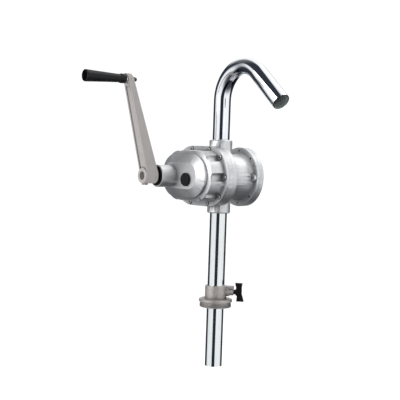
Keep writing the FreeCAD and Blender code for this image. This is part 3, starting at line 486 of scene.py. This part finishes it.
class Bench:
    """Modelling calls, each starting with nothing selected.

    Attributes:
        MERGE: points closer than this become one, in metres.
        MERGE_CAD: the same on a copy of a CAD node, in metres.
        FLAT_DEG: triangles of a copy that turn by less than this become one face.
        SMOOTH_FLATS_DEG: sharp edges turn by more than this on a casting of flat faces.
        SMOOTH_ROUNDS_DEG: the same on a round casting.
    """

    MERGE = 0.012 * MM
    MERGE_CAD = 0.002 * MM
    FLAT_DEG = 0.6
    SMOOTH_FLATS_DEG = 48.0
    SMOOTH_ROUNDS_DEG = 17.0

    @staticmethod
    def clear() -> None:
        """Leave edit mode and deselect everything."""
        if bpy.context.mode != "OBJECT":
            bpy.ops.object.mode_set(mode="OBJECT")
        bpy.ops.object.select_all(action="DESELECT")
        bpy.context.tool_settings.mesh_select_mode = (True, False, False)

    @staticmethod
    def take(piece: bpy.types.Object) -> None:
        """Make one object the only selected and active one."""
        Bench.clear()
        piece.select_set(True)
        bpy.context.view_layer.objects.active = piece

    @staticmethod
    @contextmanager
    def editing(piece: bpy.types.Object, everything: bool = True) -> Iterator[None]:
        """Edit mode on one piece, left again at the end.

        Args:
            piece: the piece.
            everything: whether all of it is selected, or only what was.
        """
        Bench.take(piece)
        bpy.ops.object.mode_set(mode="EDIT")
        if everything:
            bpy.ops.mesh.select_all(action="SELECT")
        yield
        bpy.ops.object.mode_set(mode="OBJECT")

    @staticmethod
    def modify(piece: bpy.types.Object, kind: str, **settings: object) -> None:
        """Add a modifier to a piece and apply it.

        Args:
            piece: the piece.
            kind: the modifier's type name.
            settings: properties of the modifier.
        """
        Bench.take(piece)
        modifier = piece.modifiers.new(kind.lower(), kind)
        for name, value in settings.items():
            setattr(modifier, name, value)
        bpy.ops.object.modifier_apply(modifier=modifier.name)

    @staticmethod
    def join(piece: bpy.types.Object, others: Sequence[bpy.types.Object]) -> None:
        """Join other pieces to a piece."""
        Bench.take(piece)
        for other in others:
            other.select_set(True)
        bpy.ops.object.join()

    @staticmethod
    def settle(piece: bpy.types.Object, matrix: Matrix | None = None) -> None:
        """Move a piece and write its place into its mesh.

        Args:
            piece: the piece.
            matrix: extra move, done after the piece's own.
        """
        Bench.take(piece)
        if matrix is not None:
            piece.matrix_world = matrix @ piece.matrix_world
        bpy.ops.object.transform_apply(location=True, rotation=True, scale=True)

    @staticmethod
    def close(piece: bpy.types.Object, smooth_deg: float = 35.0) -> None:
        """Merge doubles, point the faces outwards and smooth all but the sharp edges.

        Args:
            piece: the piece.
            smooth_deg: edges that turn by more than this stay sharp.
        """
        with Bench.editing(piece):
            bpy.ops.mesh.remove_doubles(threshold=Bench.MERGE)
            bpy.ops.mesh.normals_make_consistent(inside=False)
        bpy.ops.object.shade_smooth_by_angle(angle=math.radians(smooth_deg))

    @staticmethod
    def keep_flats(piece: bpy.types.Object) -> None:
        """Turn the normals of rounded edges so that the large flat faces next to them stay flat."""
        Bench.modify(piece, "WEIGHTED_NORMAL", keep_sharp=True, weight=90)

    @staticmethod
    def round_off(piece: bpy.types.Object, width: float, segments: int = 2, sharp_deg: float = 32.0) -> None:
        """Round the edges that turn by more than sharp_deg, by a width in metres and in some segments."""
        Bench.modify(piece, "BEVEL", width=width, segments=segments, limit_method="ANGLE",
                     angle_limit=math.radians(sharp_deg), miter_outer="MITER_ARC")

    @staticmethod
    def draw_out(step: Vector) -> None:
        """Extrude what is selected by a step."""
        bpy.ops.mesh.extrude_region_move(TRANSFORM_OT_translate={"value": step})

    @staticmethod
    def turned(name: str, outline: Sequence[tuple[float, float]], steps: int = 96) -> bpy.types.Object:
        """Turn an outline round Z, ring after ring.

        Args:
            name: the piece's name.
            outline: radius and height of each ring, in metres.
            steps: points round the axis.

        Returns:
            The turned shape, standing on the world's Z axis.
        """
        Bench.clear()
        radius, height = outline[0]
        bpy.ops.mesh.primitive_circle_add(vertices=steps, radius=radius, location=(0.0, 0.0, height))
        piece = bpy.context.object
        piece.name = name
        with Bench.editing(piece):
            for next_radius, next_height in outline[1:]:
                Bench.draw_out(Vector((0.0, 0.0, next_height - height)))
                scale = next_radius / radius
                bpy.ops.transform.resize(value=(scale, scale, 1.0), center_override=(0.0, 0.0, next_height))
                radius, height = next_radius, next_height
        return piece

    @staticmethod
    def copy_node(node: str, name: str) -> bpy.types.Object:
        """Copy a CAD node into a new piece with clean faces.

        Args:
            node: the CAD node.
            name: the new piece's name.

        Returns:
            The copy, with its doubles merged and its flat faces made whole.
        """
        piece = bpy.data.objects.new(name, FRAME["nodes"][node].data.copy())
        bpy.context.scene.collection.objects.link(piece)
        piece.data.materials.clear()
        with Bench.editing(piece):
            bpy.ops.mesh.remove_doubles(threshold=Bench.MERGE_CAD)
            bpy.ops.mesh.dissolve_limited(angle_limit=math.radians(Bench.FLAT_DEG))
        return piece


@dataclass
class Workshop:
    """What every sub-assembly needs to hand a piece over.

    Attributes:
        materials: finished materials by slot.
        lining: material of the tube's inside.
    """

    materials: dict[Slot, bpy.types.Material]
    lining: bpy.types.Material

    def hand_over(self, piece: bpy.types.Object, body: Body, slot: Slot, *replaced: str,
                  material: bpy.types.Material | None = None) -> None:
        """Give a piece its finish and its body, and hide the CAD nodes that it stands for.

        Args:
            piece: the finished piece.
            body: CAD body that it rides on.
            slot: material slot of the record.
            replaced: CAD nodes that it stands for.
            material: its material, where it isn't the slot's own.
        """
        piece.data.materials.clear()
        piece.data.materials.append(material or self.materials[slot])
        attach(piece, body.value)
        if replaced:
            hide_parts(*replaced)
        LOG.info("made %s: %d faces", piece.name, len(piece.data.polygons))


# ---------------------------------------------------------------- sub-assemblies
@dataclass
class Castings:
    """Castings and mouldings with their edges rounded as they leave the mould.

    Attributes:
        shop: hands the pieces over.
        rounding: width of the rounding on the head's castings, in metres.
        seam_width: width of the parting line round the front ring, in metres.
        seam_height: how far it stands out, in metres.
        seam_place: its Y, in metres.
    """

    shop: Workshop
    rounding: float = 0.6 * MM
    seam_width: float = 0.7 * MM
    seam_height: float = 0.22 * MM
    seam_place: float = -12.0 * MM

    def soften(self, node: str, body: Body, slot: Slot, rounding: float, flats: bool = True) -> None:
        """Replace a CAD casting with a copy whose edges are rounded.

        Args:
            node: the CAD node.
            body: its body.
            slot: its material slot.
            rounding: width of the rounding, in metres.
            flats: whether large flat faces matter more than round ones.
        """
        piece = Bench.copy_node(node, f"{node}_cast")
        Bench.round_off(piece, rounding)
        Bench.close(piece, smooth_deg=Bench.SMOOTH_FLATS_DEG if flats else Bench.SMOOTH_ROUNDS_DEG)
        if flats:
            Bench.keep_flats(piece)
        self.shop.hand_over(piece, body, slot, node)

    def ring_seam(self) -> None:
        """Parting line round the two-lobed front ring."""
        low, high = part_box("gear_case")
        radius = (high[2] - low[2]) / 2
        span = (high[0] - low[0]) - 2 * radius
        middle = Vector((0.0, self.seam_place, (low[2] + high[2]) / 2))
        band = [(radius - 0.2 * MM, -self.seam_width), (radius + self.seam_height, -self.seam_width * 0.35),
                (radius + self.seam_height, self.seam_width * 0.35), (radius - 0.2 * MM, self.seam_width)]
        seam = Bench.turned("ring_parting_line", band + band[:1], steps=128)
        with Bench.editing(seam):
            bpy.ops.mesh.remove_doubles(threshold=Bench.MERGE)
            bpy.ops.mesh.select_all(action="DESELECT")
        for vertex in seam.data.vertices:
            vertex.select = vertex.co.x < -0.001 * MM
        with Bench.editing(seam, everything=False):
            bpy.ops.transform.translate(value=(self.seam_height - span, 0.0, 0.0))
        Bench.settle(seam, Matrix.Translation(middle) @ ONTO_Y)
        Bench.close(seam)
        self.shop.hand_over(seam, Body.PUMP, Slot.CAST_HEAD)

    def build(self) -> None:
        """Every casting of the pump head, the crank arm and the clamp's knob."""
        self.soften("gear_case", Body.PUMP, Slot.CAST_HEAD, self.rounding)
        self.soften("pump_body", Body.PUMP, Slot.CAST_HEAD, self.rounding, flats=False)
        self.soften("rear_cover", Body.PUMP, Slot.CAST_HEAD, self.rounding, flats=False)
        self.soften("crank_arm", Body.CRANK, Slot.CAST_ARM, self.rounding * 1.3)
        self.soften("wing_knob", Body.WING_SCREW, Slot.BLACK_PLASTIC, self.rounding * 2.2)
        self.ring_seam()


@dataclass
class FastenerShadows:
    """Painted shadows: dark plates at the bottoms of the screw sockets and the tapped holes, and dark rings
    round the screw heads.

    Attributes:
        shop: hands the pieces over.
        span: distance between the two lobes of the gear case, in metres.
        circle: radius that the gear case screws lie on, in metres.
        head_front: front of their heads, in metres.
        head: radius of their heads, in metres.
        flange_front: face that their heads rest on, in metres.
        socket: corner radius of their sockets, in metres.
        hole_circle: radius that the rear flange's holes lie on, in metres.
        hole_front: front face of the rear flange, in metres.
        hole: radius of those holes, in metres.
        socket_depth: how deep the sockets are, in metres.
        hole_depth: how deep the holes look, in metres.
        plate_thick: thickness of a painted-shadow plate, in metres.
        SEAT: rings of the painted shadow round a head on its seat, in millimetres from its radius.
        SCREW_DEG: angles of the screws on each lobe, from +X towards +Z.
        HOLE_DEG: angles of the rear flange's holes.
    """

    SEAT: ClassVar = ((0.05, 0.0), (0.05, 0.3), (0.9, 0.2), (1.1, 0.0), (0.05, 0.0))
    SCREW_DEG: ClassVar = (90.0, 46.0, 0.0, -46.0, -90.0)
    HOLE_DEG: ClassVar = (90.0, 46.0, -46.0, -90.0, -134.0, 180.0, 134.0)

    shop: Workshop
    span: float = 52.3 * MM
    circle: float = 50.0 * MM
    head_front: float = -29.8 * MM
    head: float = 3.7 * MM
    flange_front: float = -27.0 * MM
    socket: float = 2.1 * MM
    hole_circle: float = 49.3 * MM
    hole_front: float = 44.2 * MM
    hole: float = 1.96 * MM
    socket_depth: float = 1.2 * MM
    hole_depth: float = 0.9 * MM
    plate_thick: float = 0.5 * MM

    def plate(self, name: str, corners: int, radius: float) -> bpy.types.Object:
        """One thin plate across Y, with its front face a little dished.

        Args:
            name: its name.
            corners: number of corners.
            radius: corner radius, in metres.

        Returns:
            The plate, centred on the origin.
        """
        thick = self.plate_thick
        outline = [(0.02 * MM, thick * 0.8), (radius * 0.8, thick), (radius, thick), (radius, 0.0),
                   (0.02 * MM, 0.0)]
        plate = Bench.turned(name, outline, steps=corners)
        Bench.settle(plate, ONTO_Y @ Matrix.Rotation(math.pi / 2, 4, "Z"))
        Bench.close(plate)
        return plate

    def seat(self) -> bpy.types.Object:
        """Painted shadow: a dark ring round a screw head on its seat."""
        ring = Bench.turned("seat_shadows", rings(self.head, 0.0, self.SEAT), steps=32)
        Bench.settle(ring, ONTO_Y)
        Bench.close(ring)
        return ring

    def scatter(self, plate: bpy.types.Object, places: Sequence[Vector]) -> None:
        """Copy a plate to every place and join the copies.

        Args:
            plate: the plate to copy; it moves to the first place.
            places: where the copies go.
        """
        copies = []
        for place in places[1:]:
            copy = bpy.data.objects.new(plate.name, plate.data.copy())
            bpy.context.scene.collection.objects.link(copy)
            Bench.settle(copy, Matrix.Translation(place))
            copies.append(copy)
        Bench.settle(plate, Matrix.Translation(places[0]))
        Bench.join(plate, copies)

    @staticmethod
    def on_circle(centre: Vector, radius: float, degrees: float, y: float, side: float = 1.0) -> Vector:
        """A place on a circle across Y, mirrored where the side is -1; degrees go from +X towards +Z."""
        angle = math.radians(degrees)
        return Vector((centre.x + side * radius * math.cos(angle), y, centre.z + radius * math.sin(angle)))

    def build(self) -> None:
        """Painted shadows in the sockets of the ten gear case screws, round their heads and in the rear
        flange's tapped holes.
        """
        low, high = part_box("gear_case")
        right = Vector((0.0, 0.0, (low[2] + high[2]) / 2))
        left = right - Vector((self.span, 0.0, 0.0))
        sockets = [self.on_circle(centre, self.circle, degrees, self.head_front + self.socket_depth, side)
                   for centre, side in ((right, 1.0), (left, -1.0)) for degrees in self.SCREW_DEG]
        seats = [place + Vector((0.0, self.flange_front - place.y, 0.0)) for place in sockets]
        holes = [self.on_circle(right, self.hole_circle, degrees, self.hole_front + self.hole_depth)
                 for degrees in self.HOLE_DEG]
        for piece, places in ((self.plate("socket_shadows", 6, self.socket), sockets), (self.seat(), seats),
                              (self.plate("hole_shadows", 24, self.hole), holes)):
            self.scatter(piece, places)
            # The painted shadows take the black rubber material.
            self.shop.hand_over(piece, Body.PUMP, Slot.RUBBER)


@dataclass
class CrankGrip:
    """Moulded grip: round collar, slim neck and a swelling sleeve with a hollow, rimmed end.

    Attributes:
        shop: hands the piece over.
        bore: radius of the hole for the spindle, in metres.
        wall: thickness of the rim at the free end, in metres.
        COLLAR: rings of the collar, in millimetres from its radius and the inner end.
        NECK: the same of the neck.
        SWELL: shares of the sleeve's length that its rings lie at.
        RIM: rings of the rim, in millimetres from the radius and the free end.
        CUP: the same of the hollow end, from the radius inside the rim.
    """

    COLLAR: ClassVar = ((-0.8, 0.0), (-0.25, 0.2), (0.0, 0.8), (0.0, 9.6), (-0.25, 10.2), (-0.8, 10.5))
    NECK: ClassVar = ((0.0, 10.8), (0.0, 11.6))
    SWELL: ClassVar = (0.1, 0.25, 0.4, 0.55, 0.7, 0.85, 0.96)
    RIM: ClassVar = ((0.0, -2.2), (-0.1, -0.9), (-0.5, -0.2), (-1.0, 0.0))
    CUP: ClassVar = ((0.3, 0.0), (0.0, -0.4), (0.0, -9.0), (-0.4, -9.4), (-1.6, -9.4), (-2.0, -10.0),
                     (-2.0, -14.8))

    shop: Workshop
    bore: float = 4.05 * MM
    wall: float = 1.9 * MM

    def build(self) -> None:
        """Turn the grip and lay it along the crank's spindle."""
        low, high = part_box("grip")
        length = high[1] - low[1]
        end = (high[0] - low[0]) / 2
        collar = end * 0.80
        neck = end * 0.70
        cup = end - self.wall
        outline = [*rings(collar, 0.0, self.COLLAR), *rings(neck, 0.0, self.NECK)]
        outline += [(neck + (end - neck) * math.pow(t, 1.15), 11.6 * MM + (length - 14.0 * MM) * t)
                    for t in self.SWELL]
        outline += [*rings(end, length, self.RIM), *rings(cup, length, self.CUP),
                    (self.bore, length - 14.8 * MM), (self.bore, 0.0), (collar - 0.8 * MM, 0.0)]
        grip = Bench.turned("moulded_grip", outline, steps=72)
        start = Vector(((low[0] + high[0]) / 2, high[1], (low[2] + high[2]) / 2))
        Bench.settle(grip, Matrix.Translation(start) @ ONTO_Y)
        Bench.close(grip)
        self.shop.hand_over(grip, Body.GRIP, Slot.BLACK_PLASTIC, "grip")


@dataclass
class BungAdapter:
    """Bung adapter with a ridged thread and a parting line down each side of its collar.

    Attributes:
        shop: hands the piece over.
        pitch: pitch of the thread, in metres.
        depth: depth of the thread, in metres.
        radius: outside radius of the thread, in metres.
        length: length of the thread, in metres.
        start: height that the thread begins at, in metres.
        bore: radius of the hole for the tube, in metres.
        collar: radius of the collar over the flange, in metres.
        collar_low: lower end of the parting line on the collar, in metres.
        collar_high: its upper end, in metres.
        parting_deg: angle of the parting line from +X towards +Y.
    """

    shop: Workshop
    pitch: float = 2.309 * MM
    depth: float = 1.3 * MM
    radius: float = 29.8 * MM
    length: float = 7.2 * MM
    start: float = 0.2 * MM
    bore: float = 16.35 * MM
    collar: float = 20.2 * MM
    collar_low: float = 9.2 * MM
    collar_high: float = 31.8 * MM
    parting_deg: float = -38.0

    def parting_line(self, degrees: float) -> bpy.types.Object:
        """Low ridge up the collar where the mould closed.

        Args:
            degrees: angle of the ridge from +X towards +Y.

        Returns:
            The ridge, at its place.
        """
        Bench.clear()
        middle = (self.collar_low + self.collar_high) / 2
        bpy.ops.mesh.primitive_cube_add(size=1.0, location=(self.collar, 0.0, middle))
        ridge = bpy.context.object
        with Bench.editing(ridge):
            bpy.ops.transform.resize(value=(0.7 * MM, 0.9 * MM, self.collar_high - self.collar_low),
                                     center_override=(self.collar, 0.0, middle))
        Bench.round_off(ridge, 0.25 * MM)
        Bench.settle(ridge, Matrix.Rotation(math.radians(degrees), 4, "Z"))
        Bench.close(ridge)
        return ridge

    def thread(self) -> bpy.types.Object:
        """Threaded stub, one ridge for each turn."""
        outline = [(self.bore, self.start), (self.radius - self.depth, self.start)]
        top = 0.0
        while top - self.pitch > -self.length:
            outline += [(self.radius - self.depth, top - 0.25 * self.pitch),
                        (self.radius, top - 0.55 * self.pitch), (self.radius, top - 0.70 * self.pitch),
                        (self.radius - self.depth, top - self.pitch)]
            top -= self.pitch
        outline += [(self.radius - self.depth, -self.length), (self.bore, -self.length), outline[0]]
        stub = Bench.turned("thread", outline)
        Bench.settle(stub)
        Bench.close(stub, smooth_deg=20.0)
        return stub

    def build(self) -> None:
        """Rounded casting, with ridged thread and parting lines in place of the plain thread."""
        adapter = Bench.copy_node("bung_adapter", "bung_adapter_cast")
        Bench.round_off(adapter, 0.7 * MM)
        with Bench.editing(adapter):
            bpy.ops.mesh.bisect(plane_co=(0.0, 0.0, self.start), plane_no=(0.0, 0.0, 1.0), use_fill=False,
                                clear_inner=True)
        Bench.close(adapter, smooth_deg=Bench.SMOOTH_FLATS_DEG)
        Bench.keep_flats(adapter)
        Bench.join(adapter, (self.thread(), self.parting_line(self.parting_deg),
                             self.parting_line(self.parting_deg + 180.0)))
        self.shop.hand_over(adapter, Body.BUNG_ADAPTER, Slot.CAST_BUNG, "bung_adapter")


@dataclass
class SpoutTube:
    """Bent spout: a straight run, an even bend and a straight end.

    Attributes:
        shop: hands the piece over.
        radius: outside radius of the tube, in metres.
        wall: thickness of its wall, in metres.
        bend_radius: radius of the bend's centre line, in metres.
        bend_start: height of the bend over the head's centre, in metres.
        bend_deg: angle that the tube turns through.
        end_run: length of the straight end, in metres.
    """

    shop: Workshop
    radius: float = 15.95 * MM
    wall: float = 1.95 * MM
    bend_radius: float = 61.7 * MM
    bend_start: float = 140.4 * MM
    bend_deg: float = 130.0
    end_run: float = 80.8 * MM

    def build(self) -> None:
        """Draw a circle along the tube's path and give it its wall."""
        low, _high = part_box("spout_tube")
        body_low, body_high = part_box("pump_body")
        bend_z = (body_low[2] + body_high[2]) / 2 + self.bend_start
        turn = math.radians(self.bend_deg)
        Bench.clear()
        bpy.ops.mesh.primitive_circle_add(vertices=96, radius=self.radius, location=(0.0, 0.0, low[2]))
        tube = bpy.context.object
        tube.name = "drawn_spout"
        with Bench.editing(tube):
            Bench.draw_out(Vector((0.0, 0.0, bend_z - low[2])))
            bpy.ops.mesh.spin(steps=90, angle=-turn, center=(self.bend_radius, 0.0, bend_z),
                              axis=(0.0, 1.0, 0.0))
            Bench.draw_out(Vector((math.sin(turn), 0.0, math.cos(turn))) * self.end_run)
        Bench.close(tube)
        Bench.modify(tube, "SOLIDIFY", thickness=self.wall, offset=-1.0, use_even_offset=True)
        Bench.round_off(tube, 0.3 * MM, sharp_deg=60.0)
        Bench.settle(tube)
        Bench.close(tube)
        self.shop.hand_over(tube, Body.PUMP, Slot.CHROME_TUBE, "spout_tube")


@dataclass
class SpoutLining:
    """Dull inside of the spout near its mouth.

    Attributes:
        shop: hands the piece over.
        outer: outside radius of the lining, in metres.
        inner: inside radius, in metres.
        length: how deep it reaches into the straight end, in metres.
        mount_to_mouth: distance from the bore's mount to the mouth, in metres.
    """

    shop: Workshop
    outer: float = 13.96 * MM
    inner: float = 13.7 * MM
    length: float = 72.0 * MM
    mount_to_mouth: float = 20.0 * MM

    def build(self) -> None:
        """Thin sleeve along the spout's straight end, closed at its inner end."""
        mouth = next(m for m in FRAME["record"]["mounts"] if m["name"] == "spout_bore")
        axis = Vector(mouth["axis"]).normalized()
        outline = [(self.outer, -0.8 * MM), (self.outer, -self.length), (0.01 * MM, -self.length),
                   (0.01 * MM, -self.length + 0.3 * MM), (self.inner, -self.length + 0.3 * MM),
                   (self.inner, -0.8 * MM), (self.outer, -0.8 * MM)]
        sleeve = Bench.turned("spout_lining", outline, steps=64)
        end = Vector(mouth["pos_m"]) + axis * self.mount_to_mouth
        Bench.settle(sleeve, Matrix.Translation(end) @ axis.to_track_quat("Z", "Y").to_matrix().to_4x4())
        Bench.close(sleeve)
        self.shop.hand_over(sleeve, Body.PUMP, Slot.CHROME_TUBE, material=self.shop.lining)


def dress_nodes(materials: dict[Slot, bpy.types.Material], effects: Effects) -> None:
    """Give every CAD node the finish of its material slot.

    Args:
        materials: the finished materials by slot.
        effects: the shared node groups.
    """
    own = {finish: finish.build(effects) for finish in set(OWN_FINISH.values())}
    for entry in FRAME["record"]["subparts"]:
        name = entry["node"]
        node = FRAME["nodes"][name]
        node.data.materials.clear()
        finish = OWN_FINISH.get(name)
        node.data.materials.append(own[finish] if finish else materials[Slot(entry["material_slot"])])
        LOG.info("dressed %s", name)


# ---------------------------------------------------------------- studio
@dataclass
class Studio:
    """Floor, light and camera.

    Attributes:
        azimuth: direction of the camera from the pump head, in degrees.
        elevation: its height over the head, in degrees.
        distance: its distance from the head, in metres.
        yaw: direction that it faces, in degrees.
        tilt: how far it looks down, in degrees.
        roll: how far it is turned about its own line of sight, in degrees.
        lens: focal length in millimetres on a 36 mm sensor.
        ceiling: upward slopes between which the panels around give way to those overhead.
        white: brightness of the plain surroundings.
        floor_drop: how far the floor lies under the lowest point, in metres.
        AROUND: what a level surface mirrors round the pump, as stops of a ramp.
        OVERHEAD: the same above the pump.
        DOWNWARD: how it falls off below the pump.
        LAMPS: name, place from the middle of the head, size and power of each lamp.
    """

    AROUND: ClassVar = ((0.0, 1.1), (0.03, 1.1), (0.05, 0.03), (0.205, 0.03), (0.23, 1.05), (0.425, 1.1),
                        (0.435, 0.02), (0.54, 0.02), (0.55, 1.15), (0.77, 1.1), (0.80, 0.03), (0.95, 0.03),
                        (0.97, 1.1), (1.0, 1.1))
    OVERHEAD: ClassVar = ((0.0, 1.1), (0.08, 1.05), (0.14, 0.22), (0.24, 0.03), (0.51, 0.03), (0.56, 0.95),
                          (0.7, 1.0), (1.0, 1.1))
    DOWNWARD: ClassVar = ((0.0, 1.0), (0.22, 1.0), (0.38, 0.85), (0.55, 0.36), (0.72, 0.07), (1.0, 0.03))
    LAMPS: ClassVar = (("key light", (0.4, 1.1, 1.7), 1.1, 6.0), ("fill light", (-0.3, -1.9, 0.6), 1.2, 18.0))
    azimuth: float = 51.705
    elevation: float = 1.482
    distance: float = 1.7738
    yaw: float = 52.849
    tilt: float = 2.94
    roll: float = 1.944
    lens: float = 85.41
    ceiling: tuple[float, float] = (0.36, 0.48)
    white: float = 1.06
    floor_drop: float = 0.30

    def head_centre(self) -> Vector:
        """Point where the tube's axis meets the barrel's axis."""
        low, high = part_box("pump_body")
        return Vector((0.0, 0.0, (low[2] + high[2]) / 2))

    def camera(self) -> None:
        """Set the camera up at its place."""
        bpy.ops.object.camera_add()
        camera = bpy.context.object
        azimuth, elevation = math.radians(self.azimuth), math.radians(self.elevation)
        away = Vector((math.sin(azimuth) * math.cos(elevation), -math.cos(azimuth) * math.cos(elevation),
                       math.sin(elevation)))
        yaw, tilt, roll = (math.radians(v) for v in (self.yaw, self.tilt, self.roll))
        back = Vector((math.sin(yaw) * math.cos(tilt), -math.cos(yaw) * math.cos(tilt), math.sin(tilt)))
        level = Vector((math.cos(yaw), math.sin(yaw), 0.0))
        upright = back.cross(level)
        right = math.cos(roll) * level + math.sin(roll) * upright
        up = -math.sin(roll) * level + math.cos(roll) * upright
        turn = Matrix((right, up, back)).transposed().to_4x4()
        camera.matrix_world = Matrix.Translation(self.head_centre() + away * self.distance) @ turn
        camera.data.lens = self.lens
        camera.data.sensor_width = 36.0
        bpy.context.scene.camera = camera

    def floor(self) -> None:
        """Wide pale floor, low enough for the tube to be drawn out."""
        low, _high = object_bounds()
        bpy.ops.mesh.primitive_plane_add(size=60.0, location=(0.0, 0.0, low[2] - self.floor_drop))
        floor = bpy.context.object
        floor.name = "floor"
        material = bpy.data.materials.new("pale floor")
        material.use_nodes = True
        shader = material.node_tree.nodes["Principled BSDF"]
        shader.inputs["Base Color"].default_value = (1.0, 1.0, 1.0, 1.0)
        shader.inputs["Roughness"].default_value = 0.9
        shader.inputs["Specular IOR Level"].default_value = 0.0
        floor.data.materials.append(material)
        floor.visible_glossy = False
        floor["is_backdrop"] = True

    def sky(self) -> None:
        """Even white surroundings, with dark and bright panels for what is mirrored."""
        world = bpy.data.worlds.new("studio")
        world.use_nodes = True
        bpy.context.scene.world = world
        kit = NodeKit(world.node_tree)
        world.node_tree.nodes.clear()
        part = kit.split(kit.add("ShaderNodeTexCoord").outputs["Generated"])
        angle = kit.math("ARCTAN2", part["Y"], part["X"])
        facing = math.radians(self.azimuth - 90.0)
        turned = kit.math("ADD", kit.math("DIVIDE", kit.math("SUBTRACT", angle, facing), math.tau), 2.5)
        share = kit.math("FRACT", turned)
        height = kit.scale_range(part["Z"], *self.ceiling, 0.0, 1.0)
        above = kit.mix(height, self.panels(kit, share, self.AROUND), self.panels(kit, share, self.OVERHEAD))
        fall = self.panels(kit, kit.math("MULTIPLY", part["Z"], -1.0), self.DOWNWARD)
        mirrored = kit.add("ShaderNodeMix", {0: 1.0, 6: above, 7: fall}, data_type="RGBA",
                           blend_type="MULTIPLY")
        path = kit.add("ShaderNodeLightPath")
        colour = kit.mix(path.outputs["Is Glossy Ray"], rgba((self.white,) * 3), mirrored.outputs[2])
        shader = kit.add("ShaderNodeBackground", {"Color": colour, "Strength": 1.0})
        kit.add("ShaderNodeOutputWorld", {"Surface": shader.outputs["Background"]})

    @staticmethod
    def panels(kit: NodeKit, share: Socket, stops: Sequence[tuple[float, float]]) -> Socket:
        """Bright and dark panels on a ramp whose middle faces the camera.

        Args:
            kit: calls on the world's tree.
            share: what the ramp reads.
            stops: place from 0 to 1 on the ramp, and brightness.

        Returns:
            The ramp's colour.
        """
        node = kit.add("ShaderNodeValToRGB", {"Fac": share})
        ramp = node.color_ramp
        while len(ramp.elements) > 1:
            ramp.elements.remove(ramp.elements[-1])
        ramp.elements[0].position = stops[0][0]
        ramp.elements[0].color = rgba((stops[0][1],) * 3)
        for place, value in stops[1:]:
            blue = 0.012 if value < 0.1 else 0.0
            ramp.elements.new(place).color = rgba((value * 0.98, value * 0.99 + blue * 0.5, value + blue * 1.6))
        return node.outputs["Color"]

    def lamp(self, name: str, away: tuple[float, float, float], size: float, power: float) -> None:
        """One square soft light that faces the pump head.

        Args:
            name: the lamp's name.
            away: its place, from the middle of the head.
            size: length of its side, in metres.
            power: its power, in watts.
        """
        centre = self.head_centre()
        place = centre + Vector(away)
        bpy.ops.object.light_add(type="AREA", location=place)
        lamp = bpy.context.object
        lamp.name = name
        lamp.data.size = size
        lamp.data.energy = power
        lamp.rotation_euler = (centre - place).to_track_quat("-Z", "Y").to_euler()

    def build(self) -> None:
        """Camera, floor, surroundings and lamps."""
        self.camera()
        self.floor()
        self.sky()
        for lamp in self.LAMPS:
            self.lamp(*lamp)
        bpy.context.scene.view_settings.view_transform = "Standard"


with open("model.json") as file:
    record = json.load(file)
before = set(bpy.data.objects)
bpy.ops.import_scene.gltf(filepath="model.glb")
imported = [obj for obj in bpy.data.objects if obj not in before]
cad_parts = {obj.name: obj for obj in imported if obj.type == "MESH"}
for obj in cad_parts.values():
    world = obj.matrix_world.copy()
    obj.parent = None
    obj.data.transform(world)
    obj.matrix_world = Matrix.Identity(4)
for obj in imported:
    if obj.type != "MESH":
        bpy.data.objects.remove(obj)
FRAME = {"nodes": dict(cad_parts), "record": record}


def main() -> None:
    """Build the looks piece by piece."""
    logging.basicConfig(level=logging.INFO, format="%(name)s: %(message)s")
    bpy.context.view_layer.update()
    Studio().build()
    effects = Effects()
    materials = {slot: finish.build(effects) for slot, finish in FINISHES.items()}
    dress_nodes(materials, effects)
    shop = Workshop(materials, BORE_LINING.build(effects))
    for assembly in (Castings(shop), FastenerShadows(shop), CrankGrip(shop), BungAdapter(shop), SpoutTube(shop),
                     SpoutLining(shop)):
        assembly.build()


if __name__ == "__main__":
    main()
